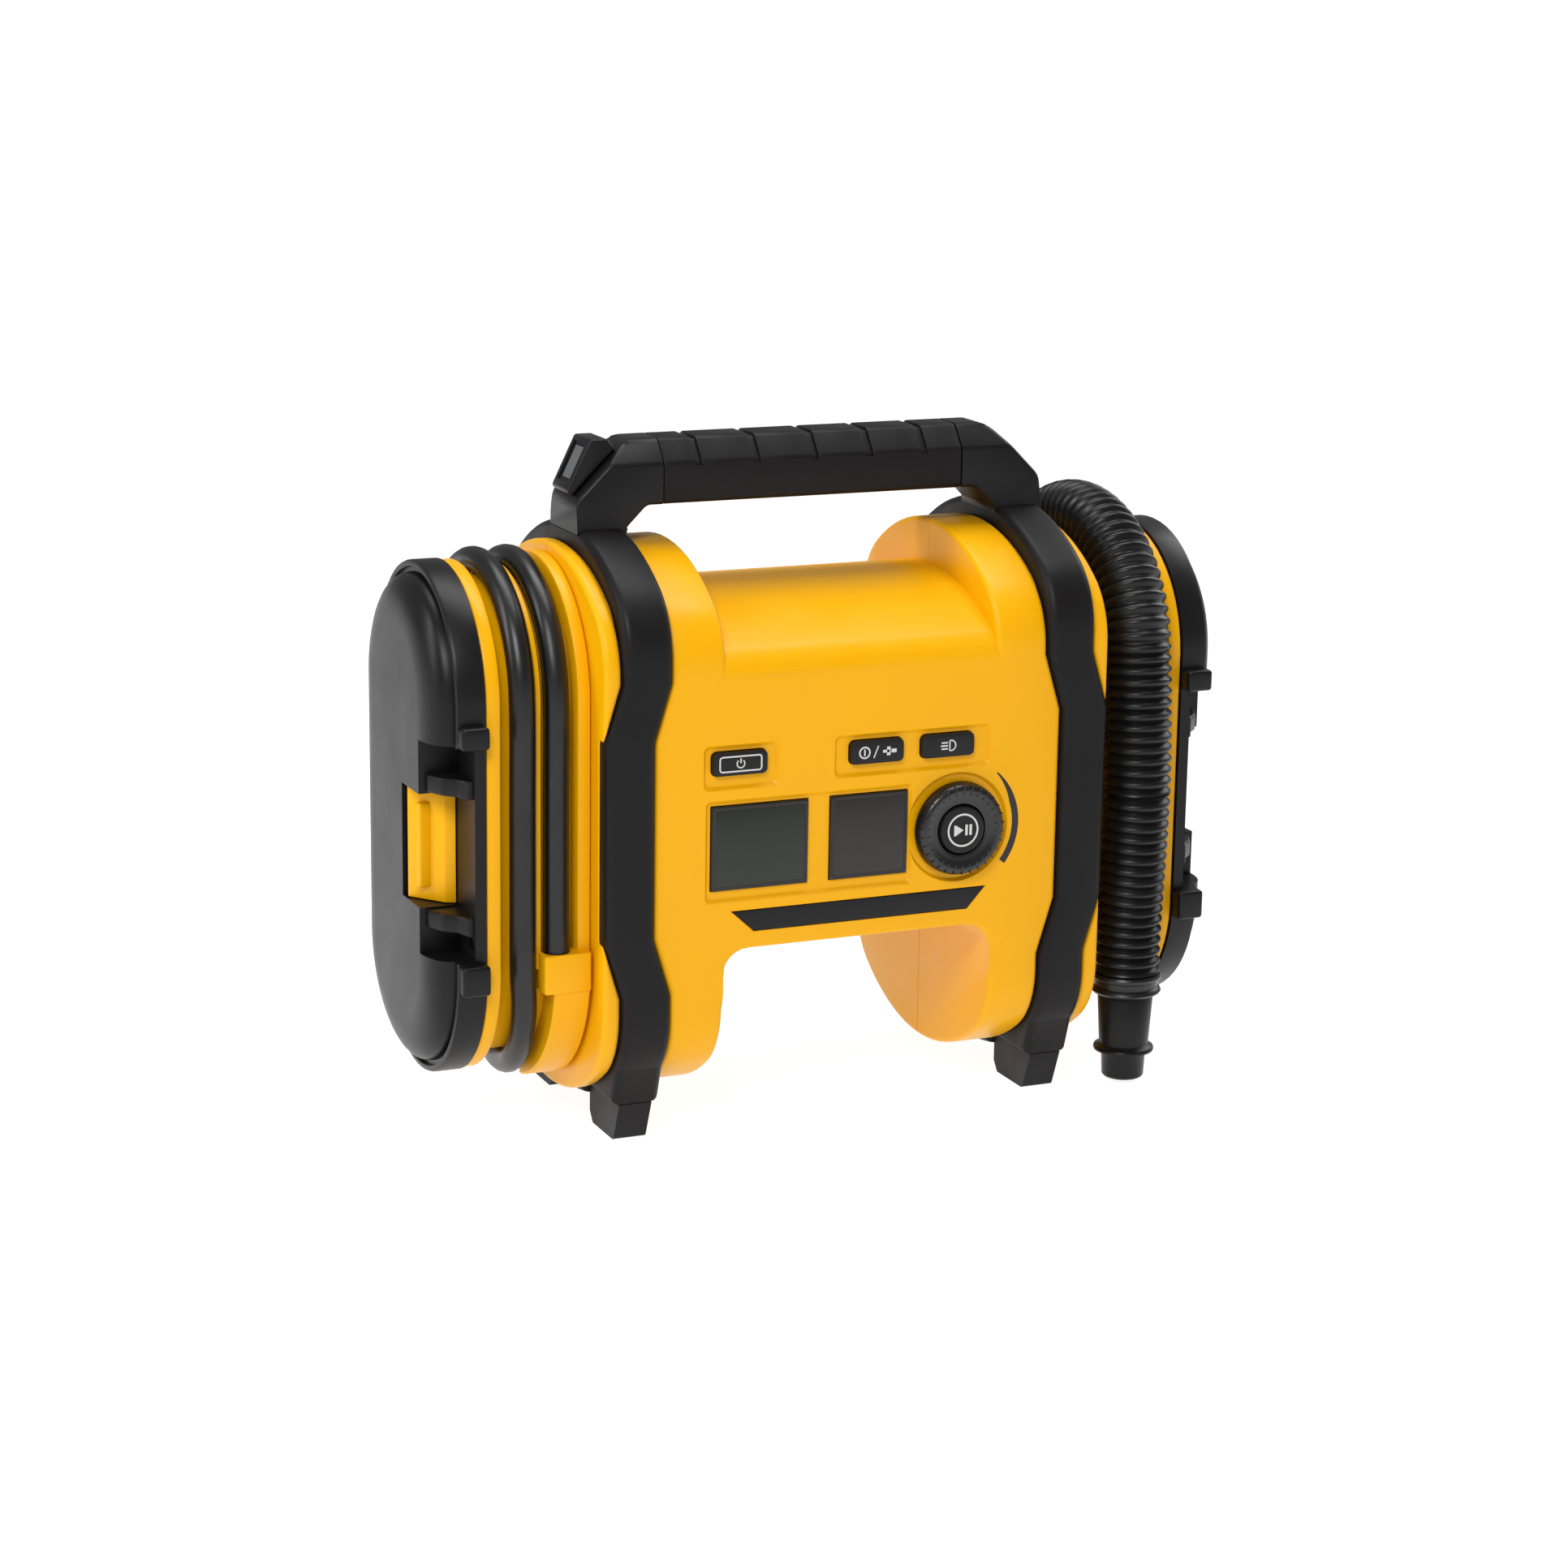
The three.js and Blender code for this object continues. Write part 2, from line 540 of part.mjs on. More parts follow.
const socketTopZ = 74;
const socketDepth = 3; // how far the tyre hose's end sits inside its socket
const hoseEndZ = socketTopZ - socketDepth;
const saddleHeelY = -12; // the saddle under the socket stops here, short of the crossing hose
function leftSpool() {
  const divider = alongX(stadium(hoseRadiusOnSpool - 1), dividerX - dividerThickness / 2,
    dividerX + dividerThickness / 2)
    .subtract(alongX(stadium(leftCoreRadius - coreWall), 0, far))
    .subtract(box(0, far, -far, far, 0, stadiumBottomZ));
  const wrapOuterRadius = hoseRadiusOnSpool + hoseDiameter / 2 + gap + 1;
  const saddle = alongX(stadium(wrapOuterRadius), spoolInnerX + 1, dividerX - 4)
    .intersect(box(0, far, -far, saddleHeelY, 0, socketTopZ));
  const socket = box(spoolInnerX + 1, dividerX, -wrapOuterRadius, -leftCoreRadius + coreWall,
    stadiumBottomZ - 8, socketTopZ)
    .add(saddle)
    .subtract(alongX(stadium(leftCoreRadius - coreWall / 2), 0, far));
  const hoseBore = rod('z', [innerWrapX, -hoseRadiusOnSpool], hoseDiameter / 2 + gap, hoseEndZ - gap,
    socketTopZ + eps);
  const fittingBore = rod('x', fittingAxis, fittingRadius + gap, spoolInnerX - eps, innerWrapX + wall);
  return union([spool(leftCoreRadius, innerFlangeThickness), divider, socket]).subtract(hoseBore)
    .subtract(fittingBore);
}

const shelfZ = 92;
function rightSpool() {
  const shelf = box(spoolInnerX + 1, outerFlangeX, -rightCoreRadius + 1, rightCoreRadius - 1, shelfZ,
    shelfZ + coreWall);
  const elbowRoom = new THREE.SphereGeometry(portRadius + gap, 16, 8).translate(volumeHoseX, ...portAxis);
  const portCuts = rod('x', portAxis, portRadius + gap, spoolInnerX - eps, volumeHoseX)
    .add(toSolid(elbowRoom))
    .add(rod('y', [volumeHoseX, portAxis[1]], portRadius + gap, portAxis[0], 2 * volumeHoseRadius));
  return spool(rightCoreRadius, rightInnerFlange).add(shelf).subtract(portCuts);
}

addPart('left_spool', mirrorX(leftSpool(), -1), yellowPlastic);
addPart('right_spool', rightSpool(), yellowPlastic);

// Storage doors with their latches; each hangs on a vertical pin at the back
const notchZ = [73, 151];
const latchZ = [90, 131];
const notchFloorX = doorRimX + 4.1;
const notchBackY = -27; // where the notch stops, in front of the latch
const doorRimOuterX = doorRimX + doorRimThickness;

function doorForm(inset) {
  const rim = alongX(stadium(doorRadius - inset), doorRimX - (inset ? eps : 0), doorRimOuterX - inset);
  const dome = alongX(stadium(doorRadius - domeInset - inset), doorRimOuterX - 3 * doorDomeHeight,
    doorRimOuterX + doorDomeHeight - inset, { size: domeSlope, thickness: doorDomeHeight, segments: 2 })
    .intersect(box(doorRimOuterX - 6, 2 * far, -far, far, 0, 2 * far));
  return rim.add(dome);
}

function latchPocket(spread) {
  const deep = [notchFloorX - spread, 2 * far];
  return box(...deep, -far, notchBackY + spread, notchZ[0] - spread, notchZ[1] + spread)
    .add(box(...deep, -40, -8 + spread, latchZ[0] - gap - spread, latchZ[1] + gap + spread));
}

function door() {
  const inRim = alongX(stadium(doorRadius - eps), 0, 2 * far);
  const bosses = [[notchZ[1], notchZ[1] + 8], [notchZ[0] - 11, notchZ[0]]]
    .map(([z0, z1]) => box(doorRimX, doorRimOuterX, -doorRadius - 5.3, -doorRadius + 6.2, z0, z1)
      .subtract(inRim));
  const knuckleReach = hinge.halfHeight - hinge.earHeight - gap;
  const knuckle = rod('z', [hinge.x, hinge.y], hinge.radius, midZ - knuckleReach, midZ + knuckleReach, 20)
    .add(box(hinge.x - 1, doorRimOuterX, doorRadius - 1, hinge.y, midZ - knuckleReach,
      midZ + knuckleReach));
  const hollow = doorForm(doorWall).subtract(latchPocket(doorWall));
  return union([doorForm(0).subtract(latchPocket(0)).subtract(hollow), ...bosses, knuckle])
    .subtract(rod('z', [hinge.x, hinge.y], hinge.pinRadius + gap, 0, 2 * midZ, 12));
}

// A sloping plate with a finger ridge; depths are from the notch floor outwards.
function latch() {
  const outline = (points) =>
    new THREE.Shape(points.map(([depth, y]) => new THREE.Vector2(notchFloorX + depth, y)));
  const plate = outline([[13.9, -11.5], [12.5, -11.2], [gap, -20], [gap, notchBackY + 1], [4, -24.5]]);
  const ridge = outline([[10.1, -15.4], [12.7, -18.4], [11.7, -20.2], [7.3, -19.8]]);
  return alongZ(plate, ...latchZ).add(alongZ(ridge, latchZ[0] + 5, latchZ[1] - 5));
}

for (const [sideName, side] of [['left', -1], ['right', 1]]) {
  addPart(`${sideName}_door`, mirrorX(door(), side), blackPlastic);
  addPart(`${sideName}_latch`, mirrorX(latch(), side), yellowPlastic);
  const pin = rod('z', [hinge.x, hinge.y], hinge.pinRadius, midZ - hinge.halfHeight,
    midZ + hinge.halfHeight, 12);
  addPart(`${sideName}_hinge_pin`, mirrorX(pin, side), steel);
}

// Control panel: windows, displays, buttons, dial and the board behind them
const windowBackY = panelInside - 0.5;
for (const [name, [x0, x1]] of Object.entries(windowBoxes)) {
  addPart(`${name}_window`, box(x0, x1, -panelHalfDepth + gap, windowBackY, ...windowZ), windowPlastic);
  addPart(`${name}_display`,
    box(x0 + 1, x1 - 1, windowBackY + gap, boardFrontY - gap, windowZ[0] + 1, windowZ[1] - 1),
    displayGlass);
}

const buttonTravel = 1;
for (const [name, x] of Object.entries(buttonXs)) {
  const [width, height] = buttonSize;
  const cap = alongY(roundedShape([[x - width / 2, buttonZ - height / 2, 2],
    [x + width / 2, buttonZ - height / 2, 2],
    [x + width / 2, buttonZ + height / 2, 2], [x - width / 2, buttonZ + height / 2, 2]]),
      -panelHalfDepth - 0.8, panelInside + 1);
  const flange = box(x - width / 2 - 1, x + width / 2 + 1, panelInside + gap, panelInside + gap + 1,
    buttonZ - height / 2 - 1, buttonZ + height / 2 + 1);
  const stem = box(x - 2, x + 2, panelInside, boardFrontY - buttonTravel - gap, buttonZ - 2, buttonZ + 2);
  addPart(`${name}_button`, union([cap, flange, stem]), buttonRubber);
}

const dialFrontY = -panelHalfDepth - 5.6;
const dialFace = rod('y', dialPosition, dialRadius, dialFrontY, -panelHalfDepth - gap, 32, dialRadius - 1);
const dialBore = startButtonRadius + startButtonGap;
const dialDish = rod('y', dialPosition, dialRadius - 2, dialFrontY - eps, dialFrontY + 1.2, 32, dialBore);
const dialHub = rod('y', dialPosition, dialHoleRadius, -panelHalfDepth - 2, boardFrontY - gap, 24);
addPart('dial', dialFace.subtract(dialDish).add(dialHub)
  .subtract(rod('y', dialPosition, dialBore, -far, 0, 24)), blackPlastic);
addPart('start_button',
  rod('y', dialPosition, startButtonRadius, dialFrontY + 0.4, boardFrontY - buttonTravel - gap, 24),
  buttonRubber);
addPart('control_board',
  box(bossXs[0] - 3.5, bossXs[1] + 3.5, boardFrontY, boardFrontY + boardThickness, 84, 152), boardGreen);

// Battery contacts under the bay's ceiling
const terminalHalfWidth = 22;
const terminalY = [-10, 40];
addPart('battery_terminal_block',
  box(-terminalHalfWidth, terminalHalfWidth, ...terminalY, bayCeilingZ - 11, bayCeilingZ - gap),
  blackPlastic);
addPart('battery_contacts', union([box(-15, 15, 40 + gap, 41.5, bayCeilingZ - 10, bayCeilingZ - 2),
  ...[-12, -4, 4, 12].map((x) => box(x - 0.5, x + 0.5, 41, 52, bayCeilingZ - 9, bayCeilingZ - 3))]),
    copper);

// Piston pump: motor pinion, crank gear, wobble piston in a finned cylinder
function gearShape(teeth, phase) {
  const pitchRadius = (gearModule * teeth) / 2;
  const root = pitchRadius - 1.25 * gearModule;
  const tip = pitchRadius + 0.85 * gearModule;
  const pitchAngle = (2 * Math.PI) / teeth;
  const points = [];
  for (let tooth = 0; tooth < teeth; tooth++) {
    const middle = phase + tooth * pitchAngle;
    const flanks = [[-0.27, root], [-0.11, tip], [0.11, tip], [0.27, root]];
    for (const [share, radius] of flanks) {
      const angle = middle + share * pitchAngle;
      points.push(new THREE.Vector2(radius * Math.cos(angle), radius * Math.sin(angle)));
    }
  }
  return new THREE.Shape(points);
}

const centreDistance = (gearModule * (crankTeeth + pinionTeeth)) / 2 + 0.15;
const lineAngle = Math.PI - pinionAngle; // from the crank axis towards the pinion, in the y-z plane
const pinionAxis = [crankAxis[0] + centreDistance * Math.cos(lineAngle),
  crankAxis[1] + centreDistance * Math.sin(lineAngle)];
const plateX = [gearX + gearFace + 1, gearX + gearFace + 4.7];
const rodX = [gearX - 8, gearX - 4.3]; // the plane of the connecting rod
const cylinderX = (rodX[0] + rodX[1]) / 2;
const shelfTopZ = 136;
const cylinderHeight = 34;
const cylinderRadius = boreRadius + 3;
const topDeadZ = shelfTopZ + cylinderHeight - 4;

const gearWheel = alongX(gearShape(crankTeeth, lineAngle), gearX, gearX + gearFace)
  .translate([0, ...crankAxis]);
const crankShaft = rod('x', crankAxis, 3, gearX + gearFace - 1, plateX[1] + 2, 16);
const crankPin = rod('x', [crankAxis[0], crankAxis[1] + crankThrow], 2.5, rodX[1] + gap, gearX + 1, 16);
addPart('crank_gear', union([gearWheel, crankShaft, crankPin]), steel);

const pinionPhase = lineAngle + Math.PI + Math.PI / pinionTeeth;
const pinionTeethSolid = alongX(gearShape(pinionTeeth, pinionPhase), gearX, gearX + gearFace)
  .translate([0, ...pinionAxis]);
const motorX = [plateX[1] + gap, plateX[1] + gap + motorLength];
addPart('motor_pinion', pinionTeethSolid
  .add(rod('x', pinionAxis, 2, gearX + gearFace - 1, motorX[0] + 14, 12)), steel);

const rearWallInside = panelHalfDepth - wall;
function crankcase() {
  const plateShape = roundedShape([[pinionAxis[0] - 22, 90, 6], [rearWallInside - gap, 90, 0],
    [rearWallInside - gap, shelfTopZ, 0],
    [pinionAxis[0] - 22, shelfTopZ, 6]]);
  const shelf = box(cylinderX - 14, plateX[1], crankAxis[0] - 15, rearWallInside - gap, shelfTopZ - 3,
    shelfTopZ);
  return alongX(plateShape, ...plateX).add(shelf)
    .subtract(rod('x', crankAxis, 3 + gap, -far, far, 16))
    .subtract(rod('x', pinionAxis, 2 + gap, -far, far, 12))
    .subtract(rod('z', [cylinderX, crankAxis[0]], boreRadius, 120, 150, 24));
}
addPart('crankcase', crankcase(), aluminium);
const motorCan = rod('x', pinionAxis, motorRadius, ...motorX, 28)
  .subtract(rod('x', pinionAxis, 2 + gap, motorX[0] - eps, motorX[0] + 14 + gap, 12));
addPart('pump_motor', motorCan, steel);

const rodEyeZ = crankAxis[1] + crankThrow;
const pistonDisc = rod('z', [cylinderX, crankAxis[0]], boreRadius - 0.6, topDeadZ - 6, topDeadZ, 20);
const rodBar = box(...rodX, crankAxis[0] - 2.5, crankAxis[0] + 2.5, rodEyeZ, topDeadZ - 5);
const rodEye = rod('x', [crankAxis[0], rodEyeZ], 6, ...rodX, 20);
addPart('piston_rod', union([pistonDisc, rodBar, rodEye])
  .subtract(rod('x', [crankAxis[0], rodEyeZ], 2.8, -far, 0, 16)), aluminium);

const fins = [0, 1, 2].map((i) =>
  rod('z', [cylinderX, crankAxis[0]], cylinderRadius + 2.2, shelfTopZ + 8 + i * 8, shelfTopZ + 11 + i * 8,
    16));
const sleeve = rod('z', [cylinderX, crankAxis[0]], cylinderRadius, shelfTopZ + gap,
  shelfTopZ + cylinderHeight, 16);
addPart('cylinder', union([sleeve, ...fins])
  .subtract(rod('z', [cylinderX, crankAxis[0]], boreRadius, 120, 190, 20)), aluminium);
const headZ = shelfTopZ + cylinderHeight + gap;
const outletZ = headZ + 5;
addPart('cylinder_head',
  box(cylinderX - 13, cylinderX + 13, crankAxis[0] - 13, crankAxis[0] + 13, headZ, headZ + 9), aluminium);

// Pressed air runs from the head to a manifold at the left end wall, which holds the pressure sensor
function tube(points, radius, steps, sides) {
  const curve = new THREE.CatmullRomCurve3(points.map((point) => new THREE.Vector3(...point)), false,
    'centripetal');
  const section = new THREE.Shape();
  for (let i = 0; i < sides; i++) {
    const angle = (2 * Math.PI * i) / sides;
    const place = [radius * Math.cos(angle), radius * Math.sin(angle)];
    if (i) section.lineTo(...place);
    else section.moveTo(...place);
  }
  return new THREE.ExtrudeGeometry(section, { steps, extrudePath: curve, bevelEnabled: false });
}

const endWallInside = spoolInnerX - gap - wall;
const manifoldX = [-endWallInside + gap, -endWallInside + 14];
addPart('air_manifold',
  box(...manifoldX, fittingAxis[0] - 7, fittingAxis[0] + 7, fittingAxis[1] - 7, fittingAxis[1] + 7)
  .add(rod('x', fittingAxis, fittingRadius, -innerWrapX - 2, manifoldX[0] + 1, 16)), brass);
const sensorFoot = fittingAxis[0] + 7 + gap;
addPart('pressure_sensor',
  box(manifoldX[0] + 2, manifoldX[1] - 2, sensorFoot, sensorFoot + 8, fittingAxis[1] - 5,
  fittingAxis[1] + 5), blackPlastic);
const headSideX = cylinderX - 13 - gap;
const lineEndX = (manifoldX[0] + manifoldX[1]) / 2;
addPart('air_line',
  tube([[headSideX, crankAxis[0], outletZ], [headSideX - 8, crankAxis[0], outletZ], [-66, 18, 170],
  [-78, 0, 150], [-86, -22, 120], [lineEndX, -38, 92], [lineEndX, fittingAxis[0], 80],
  [lineEndX, fittingAxis[0], fittingAxis[1] + 7 + gap]], 2.6, 22, 8), nylonWhite);

// Blower for airbeds, in the right end block
const voluteOuterX = endWallInside - 4.3;
const volute = { x: [voluteOuterX - 26, voluteOuterX], radius: voluteRadius, wall: 2.5 };
const coverX = [volute.x[0] - gap - 3, volute.x[0] - gap];
function blowerHousing() {
  const form = (inset) => rod('x', blowerAxis, volute.radius - inset, volute.x[0] - (inset ? eps : 0),
    volute.x[1] - inset, 36)
    .add(box(volute.x[0] - (inset ? -inset : 0), volute.x[1] - inset, portAxis[0] - 13 + inset,
      portAxis[0] + 13 - inset,
      portAxis[1] - 13 + inset, blowerAxis[1]));
  const lug = box(volute.x[0], volute.x[0] + 4, volute.radius - 4, panelHalfDepth - wall - gap,
    blowerAxis[1] - 8, blowerAxis[1] + 8);
  return form(0).add(lug).subtract(form(volute.wall))
    .subtract(rod('x', portAxis, portRadius - 2, volute.x[1] - 2 * volute.wall, volute.x[1] + eps))
    .subtract(rod('x', blowerAxis, 12, volute.x[1] - 2 * volute.wall, volute.x[1] + eps));
}
addPart('blower_housing', blowerHousing(), blackPlastic);
addPart('blower_cover', rod('x', blowerAxis, volute.radius, ...coverX, 36)
  .subtract(rod('x', blowerAxis, 2 + gap, 0, far, 12)), blackPlastic);
addPart('blower_motor', rod('x', blowerAxis, 14, coverX[0] - gap - 22, coverX[0] - gap, 24)
  .subtract(rod('x', blowerAxis, 2 + gap, coverX[0] - 12, far, 12)), steel);
const impellerX = [volute.x[0] + 2, volute.x[0] + 17];
const blades = Array.from({ length: 9 }, (_, i) =>
  box(impellerX[0] + 1, impellerX[1], 9, impellerRadius - 1, -0.8, 0.8).rotate([(i * 360) / 9, 0, 0])
    .translate([0, ...blowerAxis]));
addPart('blower_impeller', union([rod('x', blowerAxis, impellerRadius, impellerX[0], impellerX[0] + 2, 32),
  rod('x', blowerAxis, 10, impellerX[0], impellerX[1], 20),
    rod('x', blowerAxis, 2, coverX[0] - 10, impellerX[0] + 1, 12), ...blades]), nylonWhite);

// Blower outlet: an elbow through the end wall and the spool core to the hose socket at the back
const portSocketZ = [62, 84];
function volumePort() {
  const bends = (radius) => union([
    rod('x', portAxis, radius, volute.x[1] + gap, volumeHoseX, 16),
    rod('y', [volumeHoseX, portAxis[1]], radius, portAxis[0], volumeHoseRadius, 16),
    toSolid(new THREE.SphereGeometry(radius, 16, 8)).translate([volumeHoseX, ...portAxis])]);
  const socket = rod('z', [volumeHoseX, volumeHoseRadius], volumeHoseDiameter / 2, ...portSocketZ, 24);
  return bends(portRadius).add(socket)
    .subtract(bends(portRadius - 2.2)
      .add(rod('x', portAxis, portRadius - 2.2, volute.x[1] - eps, spoolInnerX, 16)))
    .subtract(rod('z', [volumeHoseX, volumeHoseRadius], volumeHoseDiameter / 2 - 3, portAxis[1],
      portSocketZ[1] + eps, 24));
}
addPart('volume_port', volumePort(), blackPlastic);

// Airbed hose: up the back, over the spool and down the front into its cuff and nozzle
const cuffZ = [35.5, 44];
const nozzleAxis = [volumeHoseX, -49];
const volumeRoute = [[volumeHoseX, volumeHoseRadius, portSocketZ[1] + gap],
  [volumeHoseX, volumeHoseRadius, 110],
  [volumeHoseX, volumeHoseRadius, 138]];
const overTheTop = 10;
for (let i = 0; i <= overTheTop; i++) {
  const angle = (Math.PI * i) / overTheTop;
  volumeRoute.push([volumeHoseX, volumeHoseRadius * Math.cos(angle),
    stadiumTopZ + volumeHoseRadius * Math.sin(angle)]);
}
volumeRoute.push([volumeHoseX, -51, 140], [volumeHoseX, -52, 115], [volumeHoseX, -51, 90],
  [volumeHoseX, -49.4, 68], [...nozzleAxis, 55], [...nozzleAxis, cuffZ[1] + gap]);
addPart('volume_hose', tube(volumeRoute, volumeHoseDiameter / 2, 36, 10), hoseRubber);
addPart('volume_hose_cuff', rod('z', nozzleAxis, 13.5, ...cuffZ, 28), hoseRubber);
const nozzle = union([rod('z', nozzleAxis, 9.2, 14, cuffZ[0] - gap, 24, 10.6),
  rod('z', nozzleAxis, 11.6, 12.4, 14.6, 24),
  rod('z', nozzleAxis, 8, 2.2, 13, 24, 8.3)]);
addPart('volume_nozzle', nozzle.subtract(rod('z', nozzleAxis, 6.2, 0, 30, 20)), blackPlastic);

// Tyre hose: out of its socket, once round beside the frame and once more round the outside
const chuckY = leftCoreRadius + chuckRadius + 0.4;
const chuckZ = [62, 108];
const airRoute = [[-innerWrapX, -hoseRadiusOnSpool, hoseEndZ], [-innerWrapX, -hoseRadiusOnSpool, 95],
  [-innerWrapX, -hoseRadiusOnSpool, 130]];
const arcSteps = 10;
function addArc(centreZ, fromDegrees, x0, x1) {
  for (let i = 0; i <= arcSteps; i++) {
    const angle = THREE.MathUtils.degToRad(fromDegrees - (180 * i) / arcSteps);
    const x = x0 + ((x1 - x0) * i) / arcSteps;
    airRoute.push([x, hoseRadiusOnSpool * Math.cos(angle), centreZ + hoseRadiusOnSpool * Math.sin(angle)]);
  }
}
addArc(stadiumTopZ, 180, -innerWrapX, -innerWrapX);
airRoute.push([-innerWrapX, hoseRadiusOnSpool, 130], [-innerWrapX, hoseRadiusOnSpool, 100]);
addArc(stadiumBottomZ, 0, -innerWrapX, -outerWrapX);
airRoute.push([-outerWrapX, -hoseRadiusOnSpool, 95], [-outerWrapX, -hoseRadiusOnSpool, 130]);
addArc(stadiumTopZ, 180, -outerWrapX, -outerWrapX);
airRoute.push([-outerWrapX, hoseRadiusOnSpool, 140], [-outerWrapX, chuckY, chuckZ[1] + gap + 8],
  [-outerWrapX, chuckY, chuckZ[1] + gap]);
addPart('air_hose', tube(airRoute, hoseDiameter / 2, 72, 8), hoseRubber);

const chuckAxis = [-outerFlangeInnerX + chuckRadius + 0.4, chuckY];
const chuckBody = rod('z', chuckAxis, chuckRadius, ...chuckZ, 20)
  .add(rod('z', chuckAxis, 5, chuckZ[0] - 8, chuckZ[0] + 1, 20));
const leverPivot = { y: chuckY + 9.4, z: chuckZ[1] - 6 };
const leverPinRadius = 0.9;
const fork = box(chuckAxis[0] - 4.5, chuckAxis[0] + 4.5, chuckY + 4, leverPivot.y + 2.2,
  leverPivot.z - 2.2, leverPivot.z + 2.2)
  .subtract(box(chuckAxis[0] - 2.6, chuckAxis[0] + 2.6, chuckY + 6.3, leverPivot.y + 4, leverPivot.z - 4,
    leverPivot.z + 4))
  .subtract(rod('x', [leverPivot.y, leverPivot.z], leverPinRadius + gap, -far, 0, 10));
addPart('valve_chuck', chuckBody.add(fork)
  .subtract(rod('z', chuckAxis, 2.8, chuckZ[0] - 9, chuckZ[0] + 12, 16)), brass);
const leverPlate = box(chuckAxis[0] - 2.3, chuckAxis[0] + 2.3, leverPivot.y - 1.4, leverPivot.y + 1.4,
  leverPivot.z - 34, leverPivot.z + 1.4);
const leverPin = rod('x', [leverPivot.y, leverPivot.z], leverPinRadius, chuckAxis[0] - 4.5,
  chuckAxis[0] + 4.5, 10);
addPart('chuck_lever', leverPlate.add(leverPin), blackPlastic);

export default group;
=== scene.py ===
import json
import math

import bmesh
import bpy
from mathutils import Matrix, Quaternion, Vector

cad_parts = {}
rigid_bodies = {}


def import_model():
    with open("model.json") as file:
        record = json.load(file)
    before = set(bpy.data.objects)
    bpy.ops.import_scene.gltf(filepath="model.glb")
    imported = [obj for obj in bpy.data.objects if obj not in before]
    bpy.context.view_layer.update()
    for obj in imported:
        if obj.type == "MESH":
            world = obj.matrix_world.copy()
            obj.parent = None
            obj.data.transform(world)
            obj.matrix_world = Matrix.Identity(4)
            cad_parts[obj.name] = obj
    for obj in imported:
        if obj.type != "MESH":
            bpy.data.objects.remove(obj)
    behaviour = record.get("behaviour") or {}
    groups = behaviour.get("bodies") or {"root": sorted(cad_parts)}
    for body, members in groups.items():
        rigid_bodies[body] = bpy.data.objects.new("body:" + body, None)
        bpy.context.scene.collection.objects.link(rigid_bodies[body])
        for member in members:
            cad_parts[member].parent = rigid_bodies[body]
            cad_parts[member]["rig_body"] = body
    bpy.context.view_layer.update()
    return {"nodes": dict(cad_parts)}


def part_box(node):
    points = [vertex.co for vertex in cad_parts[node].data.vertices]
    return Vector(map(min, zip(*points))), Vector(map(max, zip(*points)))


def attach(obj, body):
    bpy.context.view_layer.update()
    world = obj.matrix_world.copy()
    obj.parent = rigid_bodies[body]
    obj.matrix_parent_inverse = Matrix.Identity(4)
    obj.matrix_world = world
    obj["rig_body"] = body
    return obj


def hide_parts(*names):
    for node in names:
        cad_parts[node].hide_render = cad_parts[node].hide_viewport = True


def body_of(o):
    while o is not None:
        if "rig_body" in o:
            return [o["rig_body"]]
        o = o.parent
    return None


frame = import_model()
mm = 0.001  # everything is drawn in millimetres and turned to metres when a piece is finished
gap = 0.3  # clearance that the pieces keep from each other
seam = 1e-4  # points closer than this are one point


def nodeBox(name):
    low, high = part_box(name)
    return low / mm, high / mm


def nodeCentre(name):
    # x and z of a node's middle, as seen from the front
    low, high = nodeBox(name)
    return (low.x + high.x) / 2, (low.z + high.z) / 2


# camera

view = {"azimuth": -23.78, "elevation": 13.78, "roll": 0.88, "distance": 1387.1,
        "lens": 84.82, "target": (-4.5, 0.0, 115.9)}


def placeCamera():
    azimuth, elevation = math.radians(view["azimuth"]), math.radians(view["elevation"])
    back = Vector((math.sin(azimuth) * math.cos(elevation),
                   -math.cos(azimuth) * math.cos(elevation), math.sin(elevation)))
    camera = bpy.data.objects.new("camera", bpy.data.cameras.new("camera"))
    camera.data.lens = view["lens"]
    camera.data.clip_start, camera.data.clip_end = 0.05, 50
    camera.location = (Vector(view["target"]) + back * view["distance"]) * mm
    camera.rotation_mode = "QUATERNION"
    roll = Quaternion((0, 0, 1), math.radians(view["roll"]))
    camera.rotation_quaternion = back.to_track_quat("Z", "Y") @ roll
    bpy.context.scene.collection.objects.link(camera)
    bpy.context.scene.camera = camera


placeCamera()
bpy.context.scene.view_settings.view_transform = "Standard"
print("camera placed")


# outlines are lists of points in a plane

def arc(centre, radius, fromDegrees, toDegrees, steps):
    # points of an arc, both ends included
    points = []
    for i in range(steps + 1):
        angle = math.radians(fromDegrees + (toDegrees - fromDegrees) * i / steps)
        points.append((centre[0] + radius * math.cos(angle), centre[1] + radius * math.sin(angle)))
    return points


def rounded(points, steps=6):
    # corners given as (a, b, radius) become arcs
    outline = []
    for i, point in enumerate(points):
        corner = Vector(point[:2])
        radius = point[2] if len(point) > 2 else 0
        if not radius:
            outline.append(tuple(corner))
            continue
        back = (Vector(points[i - 1][:2]) - corner).normalized()
        ahead = (Vector(points[(i + 1) % len(points)][:2]) - corner).normalized()
        half = back.angle(ahead) / 2
        centre = corner + (back + ahead).normalized() * (radius / math.sin(half))
        start = corner + back * (radius / math.tan(half)) - centre
        end = corner + ahead * (radius / math.tan(half)) - centre
        turn = math.atan2(start.x * end.y - start.y * end.x, start.dot(end))
        for k in range(steps + 1):
            angle = turn * k / steps
            outline.append((centre.x + start.x * math.cos(angle) - start.y * math.sin(angle),
                            centre.y + start.x * math.sin(angle) + start.y * math.cos(angle)))
    return outline


